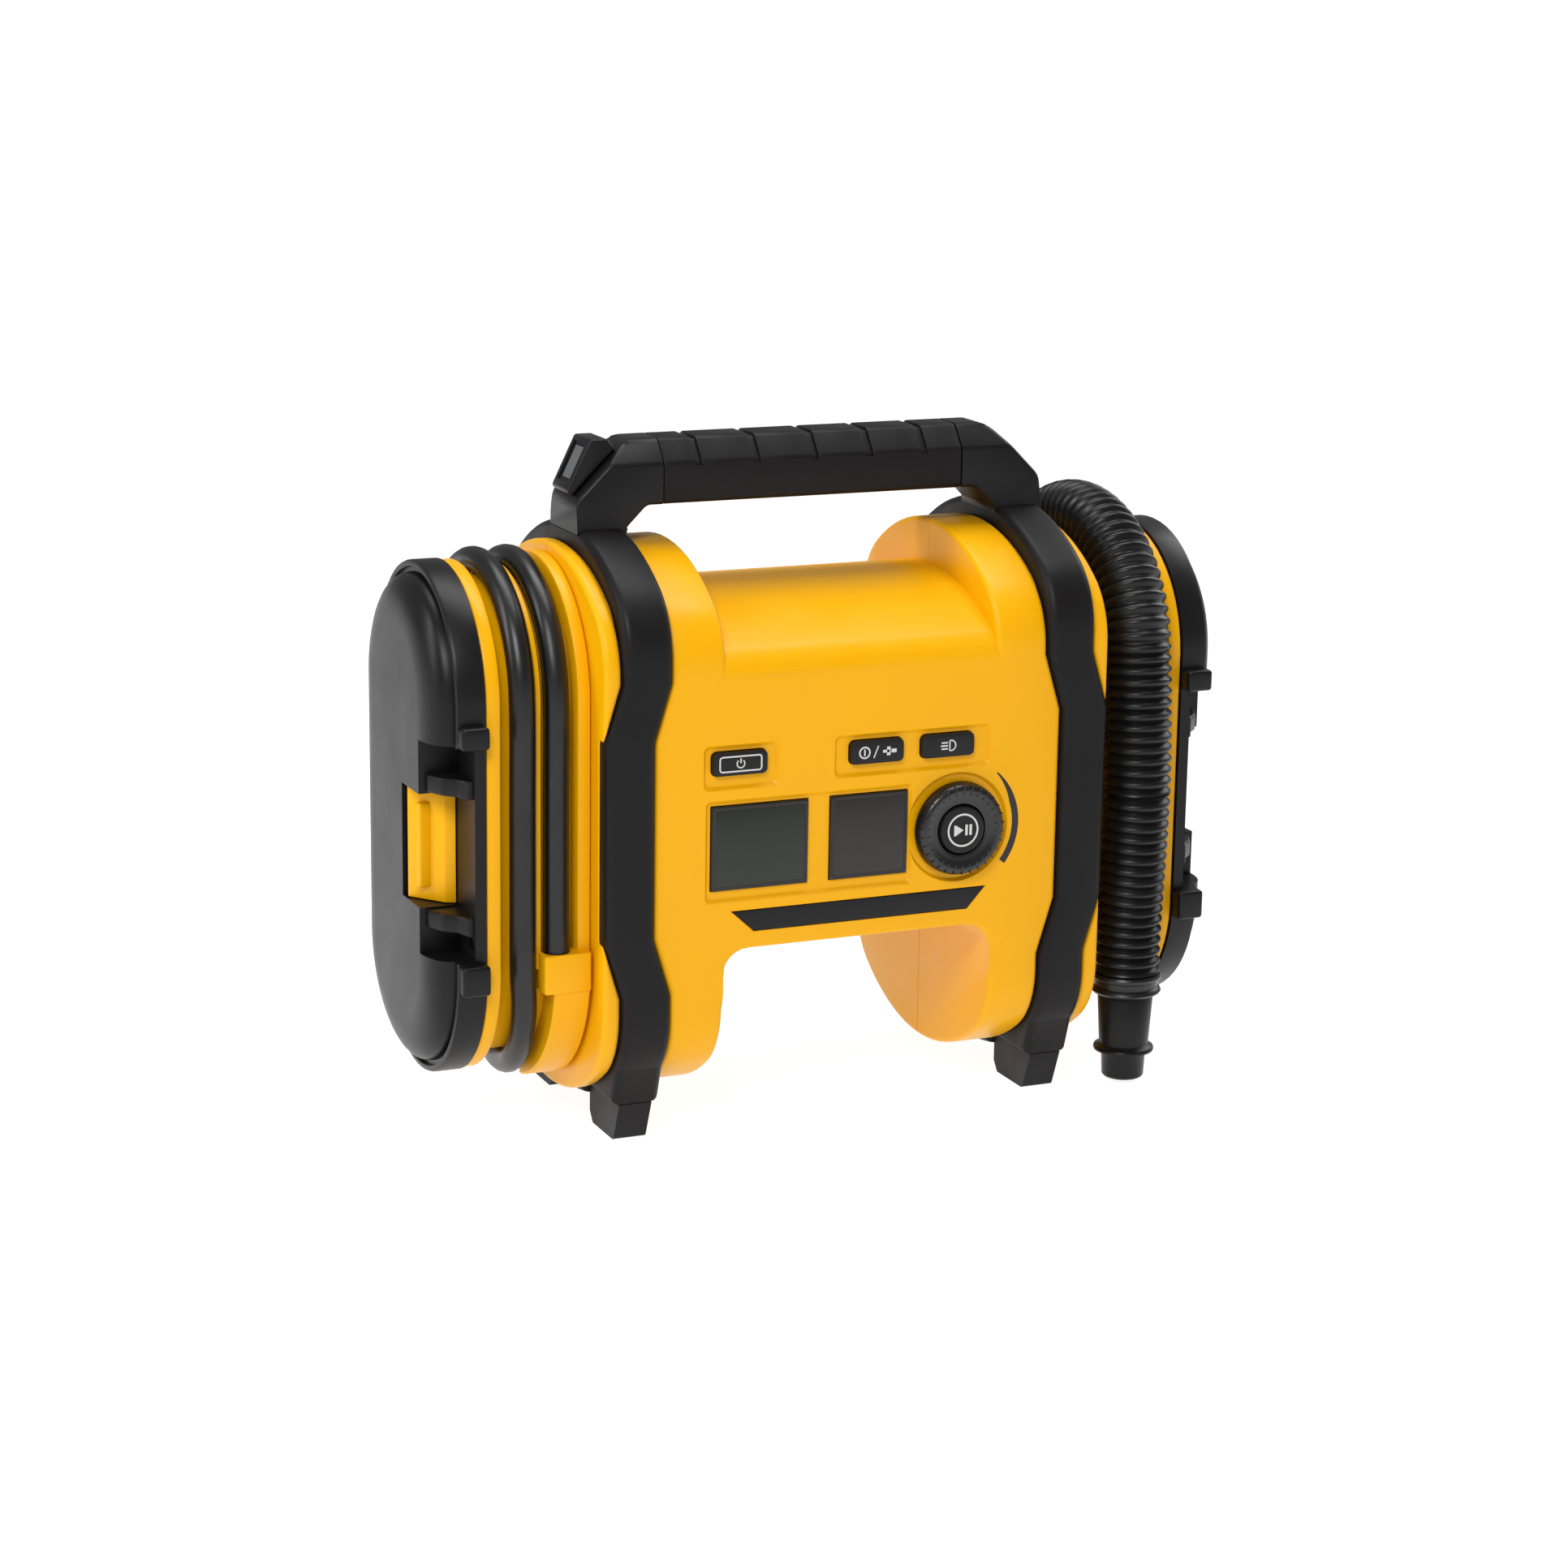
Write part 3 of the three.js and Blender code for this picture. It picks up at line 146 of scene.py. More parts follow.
def rectangle(xs, zs, radius=0, steps=6):
    corners = [(xs[0], zs[0]), (xs[1], zs[0]), (xs[1], zs[1]), (xs[0], zs[1])]
    return rounded([(*corner, radius) for corner in corners], steps)


# solids are bmeshes

toAxis = {
    "x": Matrix(((0, 0, 1, 0), (1, 0, 0, 0), (0, 1, 0, 0), (0, 0, 0, 1))),
    "y": Matrix(((1, 0, 0, 0), (0, 0, -1, 0), (0, 1, 0, 0), (0, 0, 0, 1))),
    "z": Matrix.Identity(4),
}


def prism(axis, outline, low, high):
    # an outline is given in the two other axes, in x, y, z order, and drawn out along the axis
    bm = bmesh.new()
    bm.faces.new([bm.verts.new((a, b, 0)) for a, b in outline])
    top = bmesh.ops.extrude_face_region(bm, geom=list(bm.faces))["geom"]
    topVerts = [v for v in top if isinstance(v, bmesh.types.BMVert)]
    bmesh.ops.translate(bm, vec=(0, 0, high - low), verts=topVerts)
    bm.transform(toAxis[axis])
    start = {"x": (low, 0, 0), "y": (0, high, 0), "z": (0, 0, low)}[axis]
    bmesh.ops.translate(bm, vec=start, verts=bm.verts)
    bmesh.ops.recalc_face_normals(bm, faces=bm.faces)
    return bm


def block(xs, ys, zs):
    bm = bmesh.new()
    bmesh.ops.create_cube(bm, size=1)
    size = Vector((xs[1] - xs[0], ys[1] - ys[0], zs[1] - zs[0]))
    middle = Vector((sum(xs), sum(ys), sum(zs))) / 2
    bmesh.ops.scale(bm, vec=size, verts=bm.verts)
    bmesh.ops.translate(bm, vec=middle, verts=bm.verts)
    return bm


def spun(profile, ring, steps):
    # profile points are (distance along the axis, radius); the profile of a ring is closed
    bm = bmesh.new()
    verts = [bm.verts.new((radius, 0, along)) for along, radius in profile]
    edges = [bm.edges.new(pair) for pair in zip(verts, verts[1:])]
    if ring:
        edges.append(bm.edges.new((verts[-1], verts[0])))
    bmesh.ops.spin(bm, geom=verts + edges, cent=(0, 0, 0), axis=(0, 0, 1), dvec=(0, 0, 0),
                   angle=2 * math.pi, steps=steps, use_merge=True, use_duplicate=False)
    bmesh.ops.remove_doubles(bm, verts=bm.verts, dist=seam)
    return bm


def lathe(axis, centre, profile, steps=48):
    bm = spun(profile, profile[0][1] > 0 or profile[-1][1] > 0, steps)
    turn = {"x": Matrix.Rotation(math.radians(90), 4, "Y"), "y": Matrix.Rotation(math.radians(-90), 4, "X"),
            "z": Matrix.Identity(4)}[axis]
    bm.transform(turn)
    place = {"x": (0, *centre), "y": (centre[0], 0, centre[1]), "z": (*centre, 0)}[axis]
    bmesh.ops.translate(bm, vec=place, verts=bm.verts)
    bmesh.ops.recalc_face_normals(bm, faces=bm.faces)
    return bm


def rod(axis, centre, radius, low, high, steps=32):
    return lathe(axis, centre, [(low, 0), (low, radius), (high, radius), (high, 0)], steps)


def boolean(first, second, operation):
    pair = []
    for bm in (first, second):
        mesh = bpy.data.meshes.new("work")
        bm.to_mesh(mesh)
        bm.free()
        pair.append(bpy.data.objects.new("work", mesh))
        bpy.context.scene.collection.objects.link(pair[-1])
    join = pair[0].modifiers.new("join", "BOOLEAN")
    join.operation, join.object, join.solver = operation, pair[1], "MANIFOLD"
    result = bmesh.new()
    result.from_object(pair[0], bpy.context.evaluated_depsgraph_get())
    for obj in pair:
        bpy.data.meshes.remove(obj.data)
    bmesh.ops.remove_doubles(result, verts=result.verts, dist=10 * seam)
    return result


def minus(solid, *cutters):
    for cutter in cutters:
        solid = boolean(solid, cutter, "DIFFERENCE")
    return solid


def plus(solid, *others):
    for other in others:
        solid = boolean(solid, other, "UNION")
    return solid


def both(solid, other):
    return boolean(solid, other, "INTERSECT")


def flipX(bm):
    bmesh.ops.scale(bm, vec=(-1, 1, 1), verts=bm.verts)
    bmesh.ops.reverse_faces(bm, faces=bm.faces)
    return bm


def onSide(bm, side):
    # a piece is drawn on the right, side 1; side -1 is the left
    return bm if side > 0 else flipX(bm)


def span(edge, axis):
    # lowest and highest point of an edge along x, y or z
    along = [getattr(vert.co, axis) for vert in edge.verts]
    return min(along), max(along)


def sharpEdges(bm, degrees, keep=lambda edge: True):
    # edges that stand out, where two faces meet at more than the angle
    limit = math.radians(degrees)
    return [edge for edge in bm.edges
            if len(edge.link_faces) == 2 and edge.is_convex and edge.calc_face_angle(0) > limit
            and keep(edge)]


def roundOff(bm, edges, size, segments=3):
    bmesh.ops.bevel(bm, geom=edges, offset=size, offset_type="OFFSET", segments=segments, profile=0.5,
                    affect="EDGES", clamp_overlap=False, material=-1)
    return bm


def tidyFlats(bm):
    bmesh.ops.dissolve_limit(bm, angle_limit=math.radians(0.5), verts=bm.verts, edges=bm.edges,
                             use_dissolve_boundaries=False)
    return bm


def finishPiece(bm, name, body, material, replaced=(), smooth=35):
    bm.transform(Matrix.Scale(mm, 4))
    mesh = bpy.data.meshes.new(name)
    bm.to_mesh(mesh)
    bm.free()
    mesh.shade_smooth()
    mesh.set_sharp_from_angle(angle=math.radians(smooth))
    obj = bpy.data.objects.new(name, mesh)
    bpy.context.scene.collection.objects.link(obj)
    mesh.materials.append(material)
    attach(obj, body)
    if replaced:
        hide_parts(*replaced)
    return obj


# materials

cloudSize, wearSize = 36, 18  # millimetres across the clouds of pigment and the polished patches
windowZ = (94, 126)  # a window's colour goes from its lower colour to its upper colour between these heights


def srgb(code):
    channels = [int(code[i:i + 2], 16) / 255 for i in (1, 3, 5)]
    return (*[c / 12.92 if c <= 0.04045 else ((c + 0.055) / 1.055) ** 2.4 for c in channels], 1)


def addNode(tree, kind, inputs=(), **settings):
    # inputs are (socket, value) pairs, where the value may be another node's output
    node = tree.nodes.new(kind)
    for key, value in settings.items():
        setattr(node, key, value)
    for socket, value in inputs:
        if isinstance(value, bpy.types.NodeSocket):
            tree.links.new(value, node.inputs[socket])
        else:
            node.inputs[socket].default_value = value
    return node


def startMaterial(name):
    # a new material, its tree and shader, and the place of a point on the piece
    material = bpy.data.materials.new(name)
    material.use_nodes = True
    tree = material.node_tree
    place = addNode(tree, "ShaderNodeTexCoord").outputs["Object"]
    return material, tree, tree.nodes["Principled BSDF"], place


def moulded(name, colour, roughness, grain, depth, specular=0.5, shade=0.06, gloss=0.05):
    # moulded plastic or rubber: a fine eroded grain of the tool, grain mm across and depth mm deep,
    # faint clouds of pigment, and patches that hands have polished
    material, tree, shader, place = startMaterial(name)
    dark = (*[channel * (1 - shade) for channel in srgb(colour)[:3]], 1)
    cloud = addNode(tree, "ShaderNodeTexNoise",
                    [("Vector", place), ("Scale", 1 / (cloudSize * mm)), ("Detail", 3)])
    # the sockets of a colour mix are reached by number, because three share each name
    tint = addNode(tree, "ShaderNodeMix", [(0, cloud.outputs["Fac"]), (6, dark), (7, srgb(colour))],
                   data_type="RGBA")
    tree.links.new(tint.outputs[2], shader.inputs["Base Color"])
    wear = addNode(tree, "ShaderNodeTexNoise",
                   [("Vector", place), ("Scale", 1 / (wearSize * mm)), ("Detail", 4)])
    rough = addNode(tree, "ShaderNodeMapRange",
                    [("Value", wear.outputs["Fac"]), ("From Min", 0.35), ("From Max", 0.65),
                     ("To Min", roughness - gloss), ("To Max", roughness + gloss)])
    tree.links.new(rough.outputs["Result"], shader.inputs["Roughness"])
    speck = addNode(tree, "ShaderNodeTexNoise",
                    [("Vector", place), ("Scale", 1 / (grain * mm)), ("Detail", 2)])
    bump = addNode(tree, "ShaderNodeBump",
                   [("Height", speck.outputs["Fac"]), ("Strength", 0.35), ("Distance", depth * mm)])
    tree.links.new(bump.outputs["Normal"], shader.inputs["Normal"])
    shader.inputs["Specular IOR Level"].default_value = specular
    return material


def metal(name, colour, roughness, scratch):
    # turned or stamped metal: fine tool marks, scratch mm apart, and slightly uneven polish
    material, tree, shader, place = startMaterial(name)
    shader.inputs["Metallic"].default_value = 1
    shader.inputs["Base Color"].default_value = srgb(colour)
    marks = addNode(tree, "ShaderNodeTexNoise",
                    [("Vector", place), ("Scale", 1 / (scratch * mm)), ("Detail", 3)])
    rough = addNode(tree, "ShaderNodeMapRange", [("Value", marks.outputs["Fac"]),
                                                 ("To Min", roughness - 0.08), ("To Max", roughness + 0.1)])
    tree.links.new(rough.outputs["Result"], shader.inputs["Roughness"])
    bump = addNode(tree, "ShaderNodeBump",
                   [("Height", marks.outputs["Fac"]), ("Strength", 0.2), ("Distance", 0.02 * mm)])
    tree.links.new(bump.outputs["Normal"], shader.inputs["Normal"])
    return material


def tinted(name, lowColour, highColour, roughness, coat, specular=0.3):
    # a clear plastic with its tint in the plastic and its front polished
    material, tree, shader, place = startMaterial(name)
    # the base colour changes with height, from lowColour below windowZ to highColour above it
    height = addNode(tree, "ShaderNodeSeparateXYZ", [("Vector", place)]).outputs["Z"]
    fade = addNode(tree, "ShaderNodeMapRange",
                   [("Value", height), ("From Min", windowZ[0] * mm), ("From Max", windowZ[1] * mm)])
    tint = addNode(tree, "ShaderNodeMix",
                   [(0, fade.outputs["Result"]), (6, srgb(lowColour)), (7, srgb(highColour))],
                   data_type="RGBA")
    tree.links.new(tint.outputs[2], shader.inputs["Base Color"])
    shader.inputs["Roughness"].default_value = roughness
    shader.inputs["Specular IOR Level"].default_value = specular
    shader.inputs["Coat Weight"].default_value = coat
    return material


# satin, from a spark-eroded tool
yellowAbs = moulded("ABS moulded yellow", "#ECAA00", roughness=0.36, grain=0.45, depth=0.02,
                    specular=0.2, shade=0.05)
# a faint haze of glass fibre
blackNylon = moulded("glass-filled nylon black", "#121112", roughness=0.37, grain=0.5, depth=0.03,
                     specular=0.22, shade=0.08, gloss=0.02)
# dry and soft
softRubber = moulded("TPE overmoulded black", "#141213", roughness=0.46, grain=0.4, depth=0.03,
                     specular=0.18, shade=0.12)
# extruded, with a bloom of wax
hoseRubber = moulded("EPDM hose black", "#0D0D0E", roughness=0.36, grain=0.6, depth=0.02,
                     specular=0.45, shade=0.2)
# an oily sheen
polyHose = moulded("polyethylene blow-moulded black", "#0D0D0D", roughness=0.36, grain=0.9, depth=0.03,
                   specular=0.3, shade=0.15)
# from a polished tool, so nearly glossy
dialPlastic = moulded("ABS moulded gloss black", "#141314", roughness=0.3, grain=0.5, depth=0.015, shade=0.1)
# matt, slightly dusty
buttonRubber = moulded("silicone keypad black", "#100E0E", roughness=0.5, grain=0.35, depth=0.02,
                       specular=0.3, shade=0.1)
# flat ink with a little tooth
iconInk = moulded("pad printed light grey", "#C9C9C9", roughness=0.55, grain=0.3, depth=0.01, shade=0.04)
darkInk = moulded("pad printed black", "#16130F", roughness=0.5, grain=0.3, depth=0.01, shade=0.05)
# milky and plain
nylonWhite = moulded("nylon moulded white", "#DEDBD0", roughness=0.5, grain=0.4, depth=0.02)
# solder mask over a weave
boardGreen = moulded("glass epoxy board green", "#1D5A36", roughness=0.45, grain=0.8, depth=0.02, shade=0.15)
# a dull sheen with fine marks of the tools
steel = metal("steel stamped", "#9DA1A6", roughness=0.32, scratch=0.25)
aluminium = metal("aluminium die cast", "#B4B8BC", roughness=0.4, scratch=0.4)
brass = metal("brass turned", "#B8934A", roughness=0.28, scratch=0.2)
copper = metal("copper alloy tinned", "#B87333", roughness=0.3, scratch=0.2)
# unlit displays show through as dull green and dull grey
darkWindow = tinted("polycarbonate tinted", "#23271F", "#1A1E18", roughness=0.22, coat=0.05)
greyWindow = tinted("polycarbonate smoked", "#2A2725", "#201E1D", roughness=0.22, coat=0.05)
clearLens = tinted("polycarbonate clear", "#3A3D40", "#54585B", roughness=0.12, coat=0.4)
print("materials mixed")


# hoses

stadium = {"middleZ": 115.45, "halfRun": 47.75}  # the round-ended outline of the spools and doors
stadiumTopZ = stadium["middleZ"] + stadium["halfRun"]
stadiumBottomZ = stadium["middleZ"] - stadium["halfRun"]
tyreHose = {"diameter": 9.3, "radius": 45, "innerX": -112.0, "outerX": -124.6, "startZ": 71.0,
            "endY": 46.59, "endZ": 108.3, "turnSteps": 10}
airbedHose = {"diameter": 25.4, "radius": 48.8, "x": 117.6, "startZ": 84.3, "frontY": -49.0, "cuffTopZ": 44.3,
              "pitch": 4.2, "ribDepth": 1.7, "sides": 36, "ringsPerRib": 8}
nozzle = {"bore": 6.2, "ringUp": 10.2}


def smoothPath(points, perSpan):
    # a centripetal Catmull-Rom curve through the points
    points = [Vector(p) for p in points]
    points = [2 * points[0] - points[1], *points, 2 * points[-1] - points[-2]]
    path = []
    for p0, p1, p2, p3 in zip(points, points[1:], points[2:], points[3:]):
        t1 = (p1 - p0).length ** 0.5
        t2 = t1 + (p2 - p1).length ** 0.5
        t3 = t2 + (p3 - p2).length ** 0.5
        for i in range(perSpan):
            t = t1 + (t2 - t1) * i / perSpan
            a1 = p0.lerp(p1, t / t1)
            a2 = p1.lerp(p2, (t - t1) / (t2 - t1))
            a3 = p2.lerp(p3, (t - t2) / (t3 - t2))
            b1 = a1.lerp(a2, t / t2)
            b2 = a2.lerp(a3, (t - t1) / (t3 - t1))
            path.append(b1.lerp(b2, (t - t1) / (t2 - t1)))
    return [*path, points[-2]]


def pathLength(path):
    return sum((b - a).length for a, b in zip(path, path[1:]))


def evenly(path, count):
    # the same path with its points the same distance apart
    total = pathLength(path)
    even, walked, index = [path[0]], 0.0, 0
    for i in range(1, count):
        target = total * i / count
        while walked + (path[index + 1] - path[index]).length < target:
            walked += (path[index + 1] - path[index]).length
            index += 1
        step = path[index + 1] - path[index]
        even.append(path[index] + step * ((target - walked) / step.length))
    return [*even, path[-1]]


def tyreHosePoints():
    h = tyreHose

    def wrap(centreZ, fromDegrees, x0, x1):
        steps = h["turnSteps"]
        ring = arc((0, centreZ), h["radius"], fromDegrees, fromDegrees - 180, steps)
        return [(x0 + (x1 - x0) * i / steps, y, z) for i, (y, z) in enumerate(ring)]

    inner, outer, r = h["innerX"], h["outerX"], h["radius"]
    return [(inner, -r, h["startZ"]), (inner, -r, 95), (inner, -r, 130),
            *wrap(stadiumTopZ, 180, inner, inner),
            (inner, r, 130), (inner, r, 100),
            *wrap(stadiumBottomZ, 0, inner, outer),
            (outer, -r, 95), (outer, -r, 130),
            *wrap(stadiumTopZ, 180, outer, outer),
            (outer, r, 140), (outer, h["endY"], h["endZ"] + 8), (outer, h["endY"], h["endZ"])]


def makeTyreHose():
    path = smoothPath(tyreHosePoints(), 6)
    curve = bpy.data.curves.new("tyre_hose", "CURVE")
    curve.dimensions = "3D"
    spline = curve.splines.new("POLY")
    spline.points.add(len(path) - 1)
    for point, place in zip(spline.points, path):
        point.co = (*(place * mm), 1)
    spline.use_smooth = True
    curve.bevel_depth = tyreHose["diameter"] / 2 * mm
    curve.bevel_resolution = 6
    curve.use_fill_caps = True
    obj = bpy.data.objects.new("tyre_hose", curve)
    bpy.context.scene.collection.objects.link(obj)
    curve.materials.append(hoseRubber)
    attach(obj, body_of(frame["nodes"]["air_hose"])[0])
    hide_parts("air_hose")
    print("tyre hose length", round(pathLength(path) * mm, 3))


def airbedHosePoints():
    h = airbedHose
    x, r = h["x"], h["radius"]
    top = [(x, y, z) for y, z in arc((0, stadiumTopZ), r, 0, 180, 10)]
    return [(x, r, h["startZ"]), (x, r, 110), (x, r, 138), *top,
            (x, -51, 140), (x, -52, 115), (x, -51, 90), (x, -49.4, 68),
            (x, h["frontY"], 55), (x, h["frontY"], h["cuffTopZ"])]


def makeAirbedHose():
    h = airbedHose
    dense = smoothPath(airbedHosePoints(), 12)
    ribs = round(pathLength(dense) / h["pitch"])
    path = evenly(dense, ribs * h["ringsPerRib"])
    bm = bmesh.new()
    for i, place in enumerate(path):
        ahead = (path[min(i + 1, len(path) - 1)] - path[max(i - 1, 0)]).normalized()
        turn = (i % h["ringsPerRib"]) / h["ringsPerRib"]
        crest = abs(math.cos(math.pi * turn)) ** 1.3  # round ribs with narrow valleys
        radius = h["diameter"] / 2 - h["ribDepth"] * (1 - crest)
        stand = Matrix.Translation(place) @ ahead.to_track_quat("Z", "X").to_matrix().to_4x4()
        if i == 0:
            bmesh.ops.create_circle(bm, cap_ends=True, segments=h["sides"], radius=radius, matrix=stand)
            ringEdges = [e for e in bm.edges if len(e.link_faces) == 1]
        else:
            made = bmesh.ops.extrude_edge_only(bm, edges=ringEdges)["geom"]
            ring = [v for v in made if isinstance(v, bmesh.types.BMVert)]
            ringEdges = [e for e in made if isinstance(e, bmesh.types.BMEdge)]
            growth = Matrix.Diagonal((radius / lastRadius, radius / lastRadius, 1, 1))
            bmesh.ops.transform(bm, matrix=stand @ growth @ lastStand.inverted(), verts=ring)
        lastStand, lastRadius = stand, radius
    bmesh.ops.contextual_create(bm, geom=ringEdges)
    bmesh.ops.recalc_face_normals(bm, faces=bm.faces)
    obj = finishPiece(bm, "airbed_hose", "main_body", polyHose, ["volume_hose"], smooth=80)
    makeCuff()
    makeNozzle()
    print("airbed hose length", round(pathLength(path) * mm, 3))


def makeCuff():
    # rubber cuff with a flared rim at each end
    low, high = nodeBox("volume_hose_cuff")
    axis, outer = ((low.x + high.x) / 2, (low.y + high.y) / 2), (high.x - low.x) / 2
    lowerRim = [(low.z, outer - 1.6), (low.z + 0.5, outer - 0.6), (low.z + 1.4, outer),
                (low.z + 2.4, outer - 0.5), (low.z + 3, outer - 1.4)]
    upperRim = [(high.z - 3, outer - 1.0), (high.z - 2.2, outer - 0.2), (high.z - 1.2, outer),
                (high.z - 0.4, outer - 0.5), (high.z, outer - 1.5)]
    cuff = lathe("z", axis, [(low.z, 0), *lowerRim, *upperRim, (high.z, 0)], 56)
    return finishPiece(cuff, "airbed_hose_cuff", "main_body", hoseRubber, ["volume_hose_cuff"])


def makeNozzle():
    # stepped nozzle with a stop ring; the bore runs right up to the cuff
    low, high = nodeBox("volume_nozzle")
    axis, bore, ringZ = ((low.x + high.x) / 2, (low.y + high.y) / 2), nozzle["bore"], low.z + nozzle["ringUp"]
    barrel = [(high.z, bore), (high.z, 10.3), (high.z - 0.5, 10.6)]
    ring = [(ringZ + 3.2, 9.4), (ringZ + 2.3, 10.4), (ringZ + 1.9, 11.3), (ringZ + 1.2, 11.6),
            (ringZ + 0.4, 11.4), (ringZ, 10.6), (ringZ - 0.5, 8.8), (ringZ - 1.2, 8.4)]
    tip = [(low.z + 0.8, 8.0), (low.z, 7.3), (low.z, bore + 0.6), (low.z + 0.6, bore)]
    form = lathe("z", axis, barrel + ring + tip, 56)
    return finishPiece(form, "airbed_hose_nozzle", "main_body", blackNylon, ["volume_nozzle"])


# housing: two end blocks and a barrel, open below for the battery

body = {"halfDepth": 59.8, "topZ": 213.7, "bottomZ": 11.0, "arch": 80, "corner": 30, "wall": 3, "edge": 2,
        "barrelTopZ": 197, "barrelBottomZ": 30, "barrelArch": 104, "barrelCorner": 14,
        "bayHalf": 53.5, "bayTopZ": 72, "bayRadius": 10, "bayLip": 1.4, "endX": 99.3}
rollFrame = {"halfDepth": 62, "topZ": 220.5, "bottomZ": 8.5, "arch": 86, "corner": 30, "thickness": 8,
             "innerX": 74, "width": 18.6, "kink": 6.4, "kinkStartZ": 36, "kinkEndZ": 57, "middleZ": 115}
# a ledge reaches past its keys or windows by so much at the left, the right, below and above
panel = {"recess": 1.4, "flare": 1.2, "powerLedge": (2.2, 3.6, 4.0, 1.4), "modeLedge": (5.0, 6.2, 3.4, 1.4),
         "windowLedge": (1.4, 1.2, 3.2, 1.2), "dialSeat": 20.6, "dialHole": 12.3, "keyFlange": 1,
         "keyCorner": 2}
stripe = {"topHalf": 51, "topZ": 86.6, "bottomX": (-42, 43.5), "bottomZ": 78.3, "recess": 0.8}
rail = {"webX": (26, 30), "lipX": (24, 28), "y": (8, 48), "bottomZ": 65, "lipTopZ": 67.5}
screw = {"shank": 2.1, "head": 4.3, "headDepth": 2.6, "post": 6}
outlet = {"y": 22, "z": 72, "radius": 9.8}  # the blower's way out through the right end
throughWall = (-70, -50)  # y from before the panel to behind its wall
throughHousing = (-90, 90)  # y from before the housing to behind it
allX, allZ = (-120, 120), (0, 230)  # past the housing at its ends, top and bottom


def barrelOutline(halfDepth, topZ, bottomZ, arch, corner, steps=9):
    # a gently arched top and bottom that turn down into straight sides, given as (y, z)
    turn = math.degrees(math.acos((halfDepth - corner) / (arch - corner)))
    crown = arc((0, topZ - arch), arch, 90, turn, steps)
    centre = ((arch - corner) * math.cos(math.radians(turn)),
              topZ - arch + (arch - corner) * math.sin(math.radians(turn)))
    right = crown + arc(centre, corner, turn, 0, steps)[1:]
    right += [(y, topZ + bottomZ - z) for y, z in reversed(right)]
    return right + [(-y, z) for y, z in reversed(right[1:-1])]


def inset(shape, depth):
    return barrelOutline(shape["halfDepth"] - depth, shape["topZ"] - depth, shape["bottomZ"] + depth,
                         shape["arch"] - depth, shape["corner"] - depth)


def frameStrip(spread):
    # a frame seen from the front, from above the housing to below it
    f, past = rollFrame, 130
    steps = [(past, 0), (f["kinkEndZ"], 0), (f["kinkStartZ"], f["kink"]),
             (-f["kinkStartZ"], f["kink"]), (-f["kinkEndZ"], 0), (-past, 0)]
    inner = [(f["innerX"] - spread + shift, f["middleZ"] + z) for z, shift in steps]
    outer = [(f["innerX"] + f["width"] + spread + shift, f["middleZ"] + z) for z, shift in reversed(steps)]
    return inner + outer


def flared(xs, zs):
    # a cutter for a recess whose walls lean outwards to the panel's face
    face, depth, flare = -body["halfDepth"], panel["recess"], panel["flare"]
    bm = block(xs, (face - 1, face + depth), zs)
    front = [v for v in bm.verts if v.co.y < face]
    middle = Vector((sum(xs) / 2, 0, sum(zs) / 2))
    share = (depth + 1) / depth
    for vert in front:
        away = vert.co - middle
        vert.co.x += math.copysign(flare * share, away.x)
        vert.co.z += math.copysign(flare * share, away.z)
    return roundOff(bm, [e for e in bm.edges if span(e, "y")[1] - span(e, "y")[0] > 1], 1.6, 4)


def ledge(first, last, margins, flange=0):
    # a flared recess round the pieces from the first box to the last
    left, right, below, above = margins
    return flared((first[0].x + flange - left, last[1].x - flange + right),
                  (first[0].z + flange - below, last[1].z - flange + above))


def housingForm(depth, edge=0):
    b = body
    form = prism("x", inset(b, depth), b["bayHalf"] + depth, b["endX"] - depth)
    groove = minus(prism("y", frameStrip(gap + depth), *throughHousing),
                   prism("x", inset(rollFrame, rollFrame["thickness"] + gap + depth), 40, 130))
    form = tidyFlats(minus(form, groove))
    if edge:
        roundOff(form, sharpEdges(form, 40), edge, 4)
    other = flipX(form.copy())
    reach = b["bayHalf"] + b["wall"]
    barrel = prism("x", barrelOutline(b["halfDepth"] - depth, b["barrelTopZ"] - depth, b["barrelBottomZ"],
                                      b["barrelArch"], b["barrelCorner"] - depth), -reach, reach)
    half, top, radius = b["bayHalf"] + depth, b["bayTopZ"] + depth, b["bayRadius"] + depth
    bay = rounded([(-half, -9), (half, -9), (half, top, radius), (-half, top, radius)])
    return tidyFlats(minus(plus(form, other, barrel), prism("y", bay, *throughHousing)))


def panelCutters():
    face, flange = -body["halfDepth"], panel["keyFlange"]
    power, mode, light = [nodeBox(f"{name}_button") for name in ("power", "mode", "light")]
    windows = [nodeBox("left_window"), nodeBox("right_window")]
    cutters = [ledge(power, power, panel["powerLedge"], flange),
               ledge(mode, light, panel["modeLedge"], flange), ledge(*windows, panel["windowLedge"])]
    for low, high in windows:
        cutters.append(block((low.x - gap, high.x + gap), throughWall, (low.z - gap, high.z + gap)))
    for low, high in (power, mode, light):
        shy = flange - gap
        hole = rectangle((low.x + shy, high.x - shy), (low.z + shy, high.z - shy), panel["keyCorner"] + gap)
        cutters.append(prism("y", hole, *throughWall))
    seat, floor = panel["dialSeat"], face + panel["recess"]
    seatProfile = [(face - 1, 0), (face - 1, seat + 0.8), (floor, seat - 1), (floor, 0)]
    cutters.append(lathe("y", nodeCentre("dial"), seatProfile, 72))
    cutters.append(rod("y", nodeCentre("dial"), panel["dialHole"], *throughWall, steps=48))
    return [*cutters, prism("y", stripeOutline(0), throughWall[0], face + stripe["recess"])]


def stripeOutline(spread):
    # the ends slant, so they move further sideways than the long edges move
    (left, right), half = stripe["bottomX"], stripe["topHalf"]
    low, high = stripe["bottomZ"] + spread, stripe["topZ"] - spread
    return [(-half + 2 * spread, high), (left + spread / 2, low), (right - spread / 2, low),
            (half - 2 * spread, high)]


